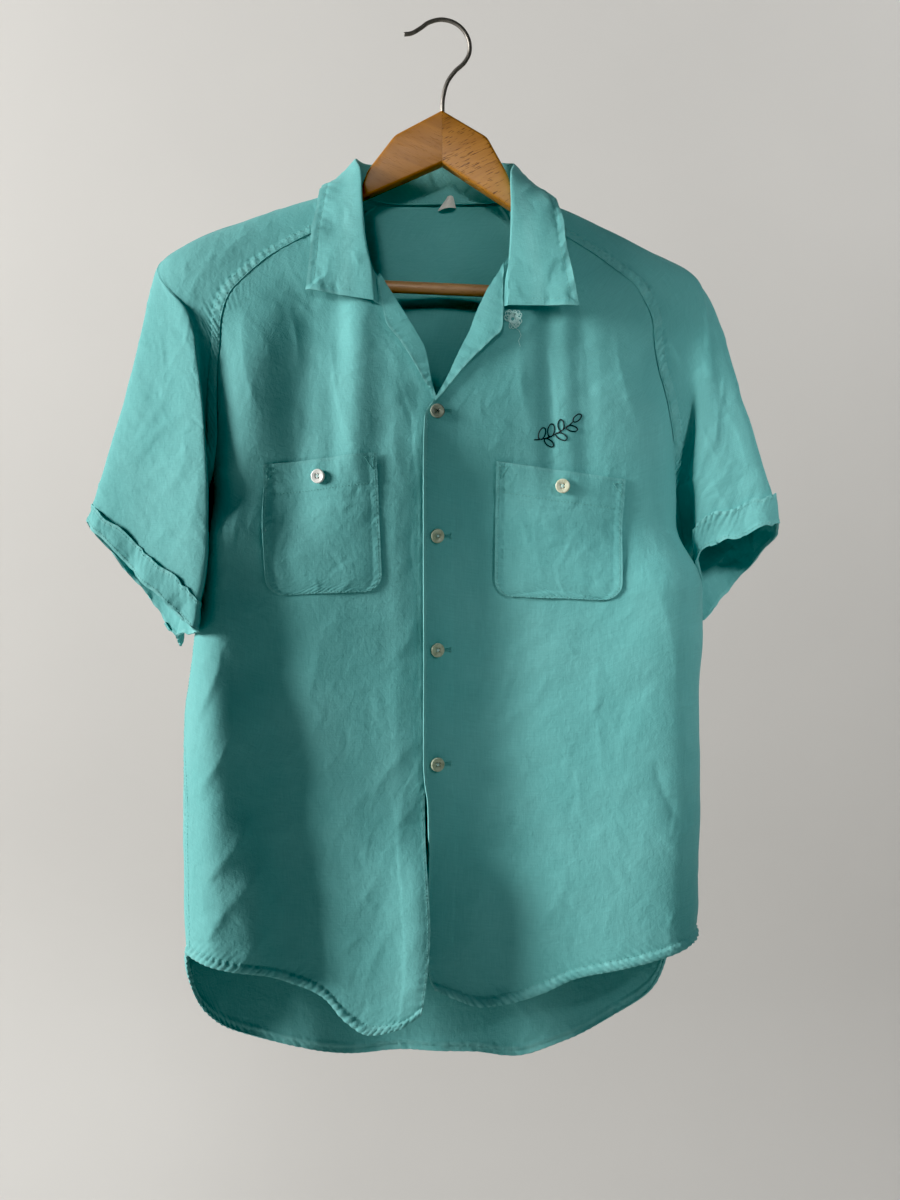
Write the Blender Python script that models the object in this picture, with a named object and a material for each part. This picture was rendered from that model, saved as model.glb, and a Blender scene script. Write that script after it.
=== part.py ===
"""Short-sleeved bowling shirt hanging flat on a wooden hanger.

Metres, +Z up. The shirt faces -Y and the origin is the inner top of the hanger's hook,
where a rail or a wall hook carries it. "Right" and "left" are the wearer's, so the right
side has negative X. Tables and sizes below are in millimetres; MM turns them into metres
where a mesh is made. A "drop" is the distance below the origin.
"""

import math

import bmesh
import bpy
import numpy as np
from mathutils import Vector

MM = 0.001
RIGHT = -1
LEFT = 1

# ---------------------------------------------------------------- driving sizes
CLOTH_WALL = 1.2
CUFF_WALL = 1.6
COLLAR_WALL = 1.4
FACING_WALL = 1.1
LABEL_WALL = 1.0
SEAM_GAP = 0.3
RING_SQUARENESS = 2.5
FOLD_FADE = 55.0
FRONT_CORNER = 68.0

BUTTON_DIAMETER = 12.0
BUTTON_THICKNESS = 2.6
BUTTON_RIM = 1.7
BUTTON_SINK = 0.6
BUTTON_CLEARANCE = 0.6

WIRE_DIAMETER = 3.6
BAR_DIAMETER = 10.0
HANGER_THICKNESS = 14.0
HANGER_EDGE_ROUND = 2.0

POCKET_EDGE_LIFT = {RIGHT: 3.0, LEFT: 2.9}
POCKET_BELLY = 1.2
POCKET_CORNER = 14.0
POCKET_COLUMNS = 11
POCKET_ROWS = 12
POCKET_BEND = 8 / POCKET_ROWS

# ---------------------------------------------------------------- tables
# The shirt's rings. half_right and half_left: how far the ring reaches to each side;
# front and back: its depth from the hanger's plane; widest: the Y of its widest place.
BODY = {
    "drop":       (136, 147, 162, 175, 190, 206, 225, 250, 275, 300, 330, 360, 400, 440, 480, 510,
                   560, 640, 700, 760, 820, 880),
    "half_right": (66, 103, 151, 184, 218, 233, 234, 217, 204, 196, 189, 185, 184, 186, 188, 191,
                   197, 202, 201, 197, 192, 188),
    "half_left":  (58, 84, 113, 139, 171, 199, 219, 206, 192, 185, 183, 184, 184, 182, 181, 182,
                   184, 186, 184, 186, 188, 188),
    "front":      (16, 20, 24, 28, 32, 36, 40, 44, 47, 50, 52, 53, 51, 47, 42, 38,
                   34, 31, 30, 29, 28, 27),
    "back":       (24, 24.5, 25, 25, 25.5, 26, 27, 28, 29, 30, 31, 31, 31, 31, 31, 31,
                   31, 32, 32, 33, 33, 33),
    "widest":     (0, 0, 0, 0, 0, -1, -2, -4, -7, -10, -13, -15, -17, -18, -18, -17,
                   -15, -12, -10, -8, -6, -5),
}

# Where the raglan seams, and below the armpit the side seams, run round the ring:
# degrees from the centre front for the fronts and sleeves, and for the back.
SEAMS = {
    "drop":        (146, 178, 197, 215, 232, 250, 275, 300, 322, 345, 368, 384, 396, 480, 600, 650,
                    880),
    "front_right": (42, 29, 33, 38, 43, 49, 54.5, 59.5, 63, 66, 72, 82, 91, 91, 80, 75,
                    75),
    "front_left":  (44, 36, 37.5, 39.5, 43.5, 50, 57.5, 64, 70, 78, 88, 94, 98, 98, 98, 98,
                    98),
    "back_right":  (148, 155, 151, 146, 142, 138, 132, 126, 120, 113, 104, 97, 91, 91, 80, 75,
                    75),
    "back_left":   (145, 153, 149, 145, 141, 137, 132, 127, 122, 116, 108, 102, 98, 98, 98, 98,
                    98),
}

# The sections that the raglan seams are worked out at: the drop of each on the front seam
# and on the back seam, from the neck to the armpit.
RAGLAN_FRONT = (156, 178, 200, 220, 244, 275, 318, 360, 396)
RAGLAN_BACK = (146, 170, 194, 217, 243, 275, 318, 360, 396)
RAGLAN_ROWS = 12
BODY_ROWS = 12

# The opening: X of each front's own edge. Above the top button it is the fold of the lapel.
OPENING_RIGHT = {
    "drop": (150, 180, 195, 210, 235, 255, 279, 307, 318, 330, 400, 590, 605, 620, 634, 665, 700,
             740, 800, 830),
    "x":    (-67, -64, -62, -56, -38, -25.5, -12, -6, -3, 2, 6, 6, 2, -6, -13, -12.5, -10.5, -8.5,
             -14, -26),
}
OPENING_LEFT = {
    "drop": (150, 178, 195, 207, 230, 260, 280, 301, 317, 334, 400, 608, 624, 640, 660, 680, 705,
             740, 768, 783, 792, 800),
    "x":    (63, 60.5, 58, 52, 37, 24.5, 15, 5.5, -3.3, -12.6, -14, -14, -13, -11, -10.5, -10, -11,
             -13, -12, -9, -5, -3),
}

# Hems: the drop of each edge across the panel, 0 at the opening (or the right side seam
# for the back) and 1 at the side seam.
FRONT_HEM = {
    "across": (0.0, 0.06, 0.16, 0.27, 0.38, 0.50, 0.64, 0.82, 1.0),
    "right":  (807, 820, 826, 816, 796, 785, 774, 766, 761),
    "left":   (792, 800, 807, 804, 795, 781, 771, 757, 742),
}
BACK_HEM = {
    "across": (0.0, 0.05, 0.11, 0.18, 0.27, 0.36, 0.45, 0.52, 0.60, 0.66, 0.73, 0.81, 0.90, 0.95,
               1.0),
    "drop":   (761, 783, 812, 826, 841, 853, 862, 859, 860, 865, 849, 826, 800, 778, 742),
}

# Hanging folds: a ridge (rise above 0) or a valley between two points of a face.
FOLDS = (
    # face, x_top, drop_top, x_bottom, drop_bottom, half_width, rise
    ("front", -163, 430, -173, 520, 26, 19),
    ("front", -174, 575, -174, 790, 30, 27),
    ("front", -138, 400, -104, 780, 24, -4),
    ("front", -152, 290, -160, 400, 24, 6),
    ("front", -106, 262, -114, 390, 22, -8),
    ("front", -14, 350, -16, 770, 17, 5),
    ("front", 34, 400, 58, 790, 42, -13),
    ("front", 160, 320, 188, 500, 44, 8),
    ("front", 203, 470, 201, 790, 66, 31),
    ("back", -160, 300, -158, 820, 24, 4),
    ("back", -108, 280, -112, 850, 26, -5),
    ("back", -52, 240, -48, 850, 26, 4),
    ("back", 6, 230, 2, 850, 26, -4),
    ("back", 58, 250, 64, 850, 26, 4),
    ("back", 112, 290, 106, 840, 26, -5),
    ("back", 162, 320, 158, 800, 24, 4),
)

# Over the shoulder a sleeve lies on the body's ring: the drop at which each section,
# from the neck outwards, crosses the ridge.
SHOULDERS = {RIGHT: (141, 153, 166, 181, 199), LEFT: (141, 161, 180, 195, 208)}

# Beyond it a sleeve hangs free, a row for each section down to the cuff's edge. fold: the
# front fold of the sleeve; tuck: how far back and out the cloth is pushed between that fold
# and the seam; ridge: the outer edge; back: the hind middle; under: the underarm seam, used
# below the armpit.
SLEEVE_COLUMNS = ("fold_x", "fold_y", "fold_drop", "tuck", "ridge_x", "ridge_y", "ridge_drop",
                  "back_x", "back_y", "back_drop", "under_x", "under_y", "under_drop")
SLEEVES = {
    RIGHT: (
        (-203, -33, 250, 1, -238.5, 0, 220, -216, 24, 254, 0, 0, 0),
        (-191, -46, 307, 9, -246, -2, 257, -221, 28, 304, 0, 0, 0),
        (-186, -52, 356, 12, -256.5, -4, 300, -228, 30, 350, 0, 0, 0),
        (-184, -54, 402, 12, -270, -5, 348, -238, 31, 392, 0, 0, 0),
        (-184, -56, 445, 13, -281, -6, 386, -246, 30, 424, -206, 4, 448),
        (-190, -57, 477, 12, -286, -6, 400, -250, 29, 446, -213, 5, 485),
        (-195, -56, 500, 11, -292, -6, 412, -254, 26, 466, -218, 2, 512),
    ),
    LEFT: (
        (212, -20, 252, 0, 221, -2, 232, 206, 25, 256, 0, 0, 0),
        (208, -30, 300, 5, 231, -12, 270, 207, 27, 302, 0, 0, 0),
        (207, -34, 340, 7, 241, -24, 312, 213, 26, 348, 0, 0, 0),
        (206, -35, 372, 6, 252, -34, 354, 222, 22, 386, 0, 0, 0),
        (206, -35, 396, 4, 259, -38, 380, 232, 18, 414, 202, 6, 440),
        (207, -35, 415, 3, 264, -40, 396, 242, 16, 434, 204, 5, 474),
        (210, -35, 437, 2, 268, -41, 418, 252, 14, 456, 207, 0, 501),
    ),
}
TUCK_SHARE = 0.45
SLEEVE_BULGE = {RIGHT: 4.0, LEFT: 6.0}
CUFF_SECTION = 10
EDGE_SECTION = 11
SLEEVE_ROWS = 4
CUFF_ROWS = 2
BACK_COLUMNS = 26
FRONT_COLUMNS = 18
SLEEVE_COLUMNS_ROUND = 24

# The collar, a row for each station from the right point round the neck to the left one.
# seam: where it joins the neck; roll: its fold; edge: its outer edge.
COLLAR_COLUMNS = ("seam_x", "seam_y", "seam_drop", "roll_x", "roll_y", "roll_drop",
                  "edge_x", "edge_y", "edge_drop")
COLLAR = (
    (-49.5, -46, 242.5, -54, -49.5, 240.5, -107, -45, 231),
    (-52.5, -43.5, 220, -56, -49.5, 216, -104.5, -42, 207),
    (-58.5, -39.5, 201, -60.5, -47, 191, -102, -38, 180),
    (-66, -31.5, 174, -63, -40, 160, -99, -30, 158),
    (-70, -21, 150, -65, -23, 131, -96, -16, 143),
    (-70.5, -4, 139.5, -70.5, 1, 113, -94, 6, 138),
    (-64, 14, 141, -63.5, 20.5, 111.5, -86, 30, 150),
    (-38, 22.8, 143.4, -38, 30, 115, -48, 40, 159),
    (0, 24.6, 143.4, 0, 31.5, 116.5, 0, 43, 161),
    (34, 22.6, 143.4, 34, 30, 115.5, 44, 40, 160),
    (56, 15, 142.5, 52, 22, 112, 76, 31, 156),
    (62, -3, 140, 60.5, 4, 116, 86, 7, 146),
    (61, -20, 156, 57, -19, 131, 92, -22, 153),
    (61, -32, 176, 57, -36, 160, 97, -41, 172),
    (58, -39, 199, 56.5, -43, 187, 99, -50, 196),
    (52, -44.5, 222, 54.5, -47, 218, 104, -55, 221),
    (50, -47.5, 245, 54.5, -49.5, 244.5, 108.5, -57, 246.5),
)

# The turned-out facings: a row for each level, fold side and outer edge, and how far the
# strip stands off its front.
LAPEL_COLUMNS = ("fold_x", "fold_drop", "edge_x", "edge_drop", "lift")
LAPEL_LEFT = (
    (-4.6, 319, -3.6, 320.5, 2.2),
    (-0.5, 312, 1.5, 315, 2.4),
    (5.5, 301, 8.5, 306, 2.8),
    (15, 280, 23, 289, 3.8),
    (22, 266, 38, 274, 5.0),
    (28, 250, 48.5, 262, 6.0),
    (37, 231, 49.5, 244, 4.2),
    (45.5, 217, 49.5, 226, 2.8),
    (49.8, 208, 50.8, 212, 2.2),
)
LAPEL_RIGHT = (
    (-7.0, 308, -8, 311, 2.2),
    (-8.5, 297, -13, 304, 2.3),
    (-12.5, 279, -19, 293, 2.6),
    (-25.5, 255, -32, 272, 3.0),
    (-36, 238, -43, 257, 3.0),
    (-42, 228, -46.5, 240, 2.6),
    (-48.5, 217, -49.6, 221, 2.2),
)

# Pocket outlines on the fronts: X and drop of the corners at the mouth and the bottom.
POCKETS = {
    RIGHT: {"inner": (-50, 361), "outer": (-140, 370), "inner_low": (-46, 470), "outer_low": (-138, 474)},
    LEFT:  {"inner": (44, 368), "outer": (144, 382), "inner_low": (43, 474), "outer_low": (139, 478)},
}

FRONT_BUTTON_X = -2.4
FRONT_BUTTONS = (
    # drop, extra room over the cloth, which curves most at the lowest one
    (329.0, 0.0),
    (426.5, 0.0),
    (517.0, 0.1),
    (608.5, 0.7),
)
POCKET_BUTTONS = {RIGHT: (-96.5, 379.5), LEFT: (95.5, 387.5)}

# Hanger: top and bottom edge of each wooden arm from the centre joint outwards.
ARM_OUTLINES = {
    RIGHT: {
        "top": ((0.9, 75), (-38, 95.5), (-60, 124), (-67, 142), (-100, 151.5), (-150, 167.5), (-182, 180.5),
                (-205, 192.5)),
        "tip": ((-221, 205), (-223, 217), (-214, 224), (-196, 221)),
        "bottom": ((-196, 205), (-182, 199), (-150, 186), (-100, 166), (-64, 146.5), (0.9, 118.5)),
    },
    LEFT: {
        "top": ((0.9, 75), (38, 97), (54, 126), (60, 142), (84, 153), (113, 168), (147, 186), (180, 203)),
        "tip": ((205, 221), (207, 233), (197, 240), (181, 238)),
        "bottom": ((181, 221), (166, 215), (142, 203), (100, 180), (57, 155), (0.9, 118.5)),
    },
}
JOINT_GAP = 0.3
BAR_ENDS = ((-195.7, 211.7), (180.7, 228.5))

HOOK_ROUTE = (
    (-30.5, 10.4), (-24, 9.4), (-17, 5.4), (-10, 0.6), (0, -1.8), (10, 0.4), (18, 6.4),
    (23, 15.5), (23.4, 25.5), (19, 34), (11.5, 41), (5.2, 50), (2.2, 60), (1.2, 68), (1.2, 74.6),
)
HOOK_STEPS = 32
HOOK_SIDES = 10

# ---------------------------------------------------------------- finishes
FINISHES = {
    # name: colour, roughness, metallic
    "cloth": ((0.14, 0.50, 0.45, 1.0), 0.75, 0.0),
    "button_shell": ((0.62, 0.66, 0.55, 1.0), 0.25, 0.0),
    "label_tape": ((0.80, 0.78, 0.72, 1.0), 0.8, 0.0),
    "beech": ((0.50, 0.24, 0.10, 1.0), 0.4, 0.0),
    "steel_wire": ((0.45, 0.44, 0.42, 1.0), 0.35, 1.0),
}


def clear_scene():
    for item in list(bpy.data.objects):
        bpy.data.objects.remove(item, do_unlink=True)


def finish(name):
    """The material of that name, made on first use."""
    material = bpy.data.materials.get(name)
    if material is None:
        colour, roughness, metallic = FINISHES[name]
        material = bpy.data.materials.new(name)
        material.use_nodes = True
        shader = material.node_tree.nodes["Principled BSDF"]
        shader.inputs["Base Color"].default_value = colour
        shader.inputs["Roughness"].default_value = roughness
        shader.inputs["Metallic"].default_value = metallic
    return material


# ---------------------------------------------------------------- curves and rings
def smooth(at, levels, values):
    """A curve through a table's column that never overshoots its rows."""
    x = np.asarray(levels, dtype=float)
    y = np.asarray(values, dtype=float)
    step = np.diff(x)
    slope = np.diff(y) / step
    tangent = np.zeros_like(y)
    before = slope[:-1]
    after = slope[1:]
    same_way = before * after > 0
    total = np.where(same_way, before + after, 1.0)
    tangent[1:-1] = np.where(same_way, 2.0 * before * after / total, 0.0)
    tangent[0] = slope[0]
    tangent[-1] = slope[-1]
    at = np.clip(np.asarray(at, dtype=float), x[0], x[-1])
    cell = np.clip(np.searchsorted(x, at, side="right") - 1, 0, len(step) - 1)
    width = step[cell]
    t = (at - x[cell]) / width
    return (y[cell] * (2 * t**3 - 3 * t**2 + 1) + tangent[cell] * width * (t**3 - 2 * t**2 + t)
            + y[cell + 1] * (3 * t**2 - 2 * t**3) + tangent[cell + 1] * width * (t**3 - t**2))


def ease(value):
    """0 below 0, 1 above 1, smooth between."""
    t = np.clip(value, 0.0, 1.0)
    return t * t * (3.0 - 2.0 * t)


def body_column(name, drop):
    return smooth(drop, BODY["drop"], BODY[name])


def half_width(side, drop):
    return body_column("half_right" if side == RIGHT else "half_left", drop)


def turn_at(side, x, drop):
    """Degrees round the ring from the centre front at which its front half passes X."""
    q = np.clip(side * np.asarray(x, dtype=float) / half_width(side, drop), -0.998, 0.998)
    rest = (1.0 - np.abs(q) ** RING_SQUARENESS) ** (1.0 / RING_SQUARENESS)
    return np.degrees(np.arctan2(q, rest))


def fold_rise(face, x, drop):
    """How far the hanging folds lift a face at X and a drop."""
    total = np.zeros_like(np.asarray(x, dtype=float) + np.asarray(drop, dtype=float))
    for where, x_top, drop_top, x_bottom, drop_bottom, half, rise in FOLDS:
        if where != face:
            continue
        along = np.clip((drop - drop_top) / (drop_bottom - drop_top), -0.3, 1.3)
        middle = x_top + (x_bottom - x_top) * along
        fade = ease((drop - drop_top) / FOLD_FADE + 1.0) * ease((drop_bottom - drop) / FOLD_FADE + 1.0)
        total = total + rise * fade * np.exp(-((x - middle) / half) ** 2)
    return total


def cloth_point(side, turn, drop, lift=0.0):
    """A point of the body's cloth, with its folds, moved out by lift."""
    half = half_width(side, drop)
    front = body_column("front", drop)
    back = body_column("back", drop)
    widest = body_column("widest", drop)
    sine = np.sin(np.radians(turn))
    cosine = np.cos(np.radians(turn))
    reach = (np.abs(sine) ** RING_SQUARENESS + np.abs(cosine) ** RING_SQUARENESS) ** (-1.0 / RING_SQUARENESS)
    depth = np.where(cosine > 0, front + widest, back - widest)
    x = side * half * reach * sine
    y = widest - depth * reach * cosine
    out_x = side * np.sign(sine) * np.abs(reach * sine) ** (RING_SQUARENESS - 1.0) / half
    out_y = -np.sign(cosine) * np.abs(reach * cosine) ** (RING_SQUARENESS - 1.0) / depth
    length = np.hypot(out_x, out_y)
    frontness = ease(0.5 + 1.2 * cosine)
    rise = frontness * fold_rise("front", x, drop) + (1.0 - frontness) * fold_rise("back", x, drop)
    out = (rise + lift) / length
    return np.stack([x + out_x * out, y + out_y * out, -drop + 0.0 * x], axis=-1)


def opening_x(side, drop):
    table = OPENING_RIGHT if side == RIGHT else OPENING_LEFT
    return smooth(drop, table["drop"], table["x"])


def seam_turn(panel, side, drop):
    column = panel + ("_right" if side == RIGHT else "_left")
    return smooth(drop, SEAMS["drop"], SEAMS[column])


def front_lift(side, x, drop):
    """The lap at the buttons, and the two hem corners that swing apart below them."""
    below = ease((drop - 650.0) / 60.0)
    if side == RIGHT:
        tucked = 4.2 * ease((x + 38.0) / 22.0) * (1.0 - below) * ease((drop - 296.0) / 26.0)
        swing = 10.0 * below * np.exp(-(((x + 12.0) / 40.0) ** 2))
        return swing - tucked
    swing = -7.0 * below * np.exp(-((x / 34.0) ** 2))
    return swing + 0.6 * ease((8.0 - x) / 20.0) * (1.0 - below)


def front_at(side, across, drop, lift=0.0):
    """A point of a front: across is 0 at the opening and 1 at the raglan or side seam."""
    start = turn_at(side, opening_x(side, drop), drop)
    seam = seam_turn("front", side, drop)
    behind = np.maximum(seam - FRONT_CORNER, 0.0)
    turn = start + (seam - behind - start) * across + behind * across**5
    flat = cloth_point(side, turn, drop)
    return cloth_point(side, turn, drop, lift + front_lift(side, flat[..., 0], drop))


def raglan_drop(down, seam_drops):
    """Drop of a panel's point above the armpit: down runs from 0 at the neck to 1 there."""
    stations = np.clip(down, 0.0, 1.0) * (len(seam_drops) - 1)
    return np.interp(stations, range(len(seam_drops)), seam_drops)


def panel_drop(down, hem, seam_drops):
    """Drop of a panel's point: down is 0 at the neck, 1 at the hem."""
    row = down * (RAGLAN_ROWS + BODY_ROWS)
    above = raglan_drop(row / RAGLAN_ROWS, seam_drops)
    below = seam_drops[-1] + (hem - seam_drops[-1]) * (row - RAGLAN_ROWS) / BODY_ROWS
    return np.where(row <= RAGLAN_ROWS, above, below)


def front_place(side):
    def place(across, down):
        hem = smooth(across, FRONT_HEM["across"], FRONT_HEM["right" if side == RIGHT else "left"])
        return front_at(side, across, panel_drop(down, hem, RAGLAN_FRONT))
    return place


def front_over(side, x, drop, lift):
    """The point over a front at X and a drop, moved out by lift."""
    turn = turn_at(side, x, drop)
    return cloth_point(side, turn, drop, lift + front_lift(side, x, drop))


def back_place(across, down):
    hem = smooth(across, BACK_HEM["across"], BACK_HEM["drop"])
    drop = panel_drop(down, hem, RAGLAN_BACK)
    right_turn = seam_turn("back", RIGHT, drop)
    left_turn = seam_turn("back", LEFT, drop)
    share = right_turn - 180.0 + (360.0 - left_turn - right_turn) * across
    on_right = cloth_point(RIGHT, 180.0 + np.minimum(share, 0.0), drop)
    on_left = cloth_point(LEFT, 180.0 - np.maximum(share, 0.0), drop)
    return np.where((share < 0.0)[..., None], on_right, on_left)


# ---------------------------------------------------------------- sleeves
def spline_weights(at, count, ring=False):
    """Catmull-Rom weights of count control points for each value of at (0 to 1).

    In a ring the last point repeats the first, and the curve runs on round through both.
    """
    place = np.clip(at, 0.0, 1.0) * (count - 1)
    cell = np.clip(place.astype(int), 0, count - 2).reshape(-1)
    t = place.reshape(-1) - cell
    weights = np.zeros((cell.size, count))
    rows = np.arange(cell.size)
    basis = (
        (-1, -0.5 * t + t**2 - 0.5 * t**3),
        (0, 1.0 - 2.5 * t**2 + 1.5 * t**3),
        (1, 0.5 * t + 2.0 * t**2 - 1.5 * t**3),
        (2, -0.5 * t**2 + 0.5 * t**3),
    )
    for shift, value in basis:
        index = cell + shift
        inside = (index >= 0) & (index < count)
        np.add.at(weights, (rows[inside], index[inside]), value[inside])
        past_ends = ((index < 0, 0, 1, count - 2), (index >= count, count - 1, count - 2, 1))
        for outside, end, inner, round_to in past_ends:
            if ring:
                np.add.at(weights, (rows[outside], round_to), value[outside])
            else:
                np.add.at(weights, (rows[outside], end), 2.0 * value[outside])
                np.add.at(weights, (rows[outside], inner), -value[outside])
    return weights.reshape(at.shape + (count,))


def seam_point(panel, side, drop):
    drop = np.asarray(drop, dtype=float)
    return cloth_point(side, seam_turn(panel, side, drop), drop)


def shoulder_section(side, front_drop, back_drop, ridge_drop):
    """Control points of a section that lies on the body's ring, from seam to seam."""
    points = []
    halves = (("front", front_drop, (0.0, 0.25, 0.5, 0.75, 1.0)), ("back", back_drop, (0.5, 0.0)))
    for panel, seam_drop, shares in halves:
        seam = float(seam_turn(panel, side, seam_drop))
        for share in shares:
            drop = ridge_drop + (seam_drop - ridge_drop) * (1.0 - share) ** 1.4
            points.append(cloth_point(side, np.array(seam + (90.0 - seam) * share), np.array(drop)))
    return points


def sleeve_net(side):
    """Control points of a sleeve: [section][front seam, tuck, fold, front, ridge, back, back seam]."""
    net = [shoulder_section(side, *drops) for drops in zip(RAGLAN_FRONT, RAGLAN_BACK, SHOULDERS[side])]
    seam_drops = iter(RAGLAN_FRONT[len(net):])
    for values in SLEEVES[side]:
        row = dict(zip(SLEEVE_COLUMNS, values))
        fold = np.array((row["fold_x"], row["fold_y"], -row["fold_drop"]), dtype=float)
        ridge = np.array((row["ridge_x"], row["ridge_y"], -row["ridge_drop"]), dtype=float)
        back = np.array((row["back_x"], row["back_y"], -row["back_drop"]), dtype=float)
        if row["under_drop"]:
            start = np.array((row["under_x"], row["under_y"], -row["under_drop"]), dtype=float)
            end = start
        else:
            seam_drop = next(seam_drops)
            start = seam_point("front", side, seam_drop)
            end = seam_point("back", side, seam_drop)
        tuck = fold + TUCK_SHARE * (start - fold) + row["tuck"] * np.array((0.7 * side, 0.7, 0.0))
        front = 0.5 * (fold + ridge) + np.array((0.0, -SLEEVE_BULGE[side], 0.0))
        net.append((start, tuck, fold, front, ridge, back, end))
    return np.array(net)


def sleeve_point(side, across, section):
    """A point of a sleeve: across runs from the front seam over the ridge to the back seam."""
    net = sleeve_net(side)
    sections, columns = net.shape[:2]
    armpit = len(RAGLAN_FRONT) - 1
    closed = ease(section - armpit)[..., None]
    by_section = spline_weights(section / (sections - 1), sections)

    def at(share):
        by_column = ((1.0 - closed) * spline_weights(share, columns)
                     + closed * spline_weights(share, columns, ring=True))
        return np.einsum("...i,...j,ijk->...k", by_section, by_column, net)

    point = at(across)
    start = at(np.zeros_like(across))
    end = at(np.ones_like(across))
    sewn = (section <= armpit)[..., None]
    halves = (("front", start, RAGLAN_FRONT, 1.0 - 6.0 * across),
              ("back", end, RAGLAN_BACK, 6.0 * across - 5.0))
    for panel, edge, drops, near in halves:
        drop = np.interp(section, range(armpit + 1), drops)
        seam = np.where(sewn, seam_point(panel, side, drop), 0.5 * (start + end))
        point = point + (seam - edge) * ease(near)[..., None]
    return point


def sleeve_place(side):
    armpit = len(RAGLAN_FRONT) - 1

    def place(across, down):
        row = down * (RAGLAN_ROWS + SLEEVE_ROWS)
        above = row / RAGLAN_ROWS * armpit
        below = armpit + (CUFF_SECTION - armpit) * (row - RAGLAN_ROWS) / SLEEVE_ROWS
        return sleeve_point(side, across, np.where(row <= RAGLAN_ROWS, above, below))
    return place


def cuff_place(side):
    def place(across, down):
        section = CUFF_SECTION + (EDGE_SECTION - CUFF_SECTION) * down
        return sleeve_point(side, across, section)
    return place


# ---------------------------------------------------------------- collar, lapels, pockets
def collar_net():
    net = []
    for row in COLLAR:
        line = dict(zip(COLLAR_COLUMNS, row))
        seam = np.array((line["seam_x"], line["seam_y"], -line["seam_drop"]), dtype=float)
        roll = np.array((line["roll_x"], line["roll_y"], -line["roll_drop"]), dtype=float)
        edge = np.array((line["edge_x"], line["edge_y"], -line["edge_drop"]), dtype=float)
        stand = roll + 0.3 * (seam - roll)
        fall = roll + 0.3 * (edge - roll)
        apart = fall - stand
        spread = np.linalg.norm(apart)
        doubled = np.dot(seam - roll, edge - roll) > 0
        wanted = 4.6
        if doubled and spread < wanted:
            apart = apart / spread * (wanted - spread) / 2.0
            stand = stand - apart
            fall = fall + apart
        net.append((seam, stand, roll, fall, 0.5 * (fall + edge), edge))
    return np.array(net)


def collar_place(across, down):
    net = collar_net()
    by_row = spline_weights(across, net.shape[0])
    by_column = spline_weights(down, net.shape[1])
    return np.einsum("...i,...j,ijk->...k", by_row, by_column, net)


def lapel_place(side):
    rows = LAPEL_RIGHT if side == RIGHT else LAPEL_LEFT
    columns = {name: [row[i] for row in rows] for i, name in enumerate(LAPEL_COLUMNS)}
    stations = np.arange(len(rows), dtype=float)

    def place(across, down):
        at = down * (len(rows) - 1)
        fold_x = smooth(at, stations, columns["fold_x"])
        fold_drop = smooth(at, stations, columns["fold_drop"])
        edge_x = smooth(at, stations, columns["edge_x"])
        edge_drop = smooth(at, stations, columns["edge_drop"])
        lift = smooth(at, stations, columns["lift"])
        x = fold_x + (edge_x - fold_x) * across
        drop = fold_drop + (edge_drop - fold_drop) * across
        return front_over(side, x, drop, 2.1 + (lift - 2.1) * np.sin(across * math.pi / 2.0))
    return place


def pocket_lift(side, across, down):
    """How far a pocket stands off its front: least along the three sewn edges."""
    return POCKET_EDGE_LIFT[side] + POCKET_BELLY * np.sin(math.pi * across) * np.cos(math.pi / 2.0 * down)


def pocket_place(side):
    corners = POCKETS[side]

    def place(across, down):
        height = corners["inner_low"][1] - corners["inner"][1]
        straight = 1.0 - POCKET_CORNER / height
        bend = np.clip((down - POCKET_BEND) / (1.0 - POCKET_BEND), 0.0, 1.0) * math.pi / 2.0
        level = straight * np.minimum(down / POCKET_BEND, 1.0) + (1.0 - straight) * np.sin(bend)
        inset = POCKET_CORNER * (1.0 - np.cos(bend))
        inner = [a + (b - a) * level for a, b in zip(corners["inner"], corners["inner_low"])]
        outer = [a + (b - a) * level for a, b in zip(corners["outer"], corners["outer_low"])]
        width = np.abs(outer[0] - inner[0])
        share = inset / width + across * (1.0 - 2.0 * inset / width)
        x = inner[0] + (outer[0] - inner[0]) * share
        drop = inner[1] + (outer[1] - inner[1]) * share
        return front_over(side, x, drop, pocket_lift(side, across, down))
    return place


# ---------------------------------------------------------------- makers
def add_object(name, mesh, material):
    item = bpy.data.objects.new(name, mesh)
    bpy.context.scene.collection.objects.link(item)
    mesh.materials.append(finish(material))
    return item


def grid_of(place, columns, rows):
    """Points of a sheet, [row][column], from place(across, down)."""
    down, across = np.meshgrid(np.arange(rows + 1) / rows, np.arange(columns + 1) / columns, indexing="ij")
    return place(across, down)


def edge_of(grid, edge):
    """The outer points of a named edge, and the points next to them."""
    if edge == "start":
        return grid[:, 0], grid[:, 1]
    if edge == "end":
        return grid[:, -1], grid[:, -2]
    if edge == "top":
        return grid[0], grid[1]
    return grid[-1], grid[-2]


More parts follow.
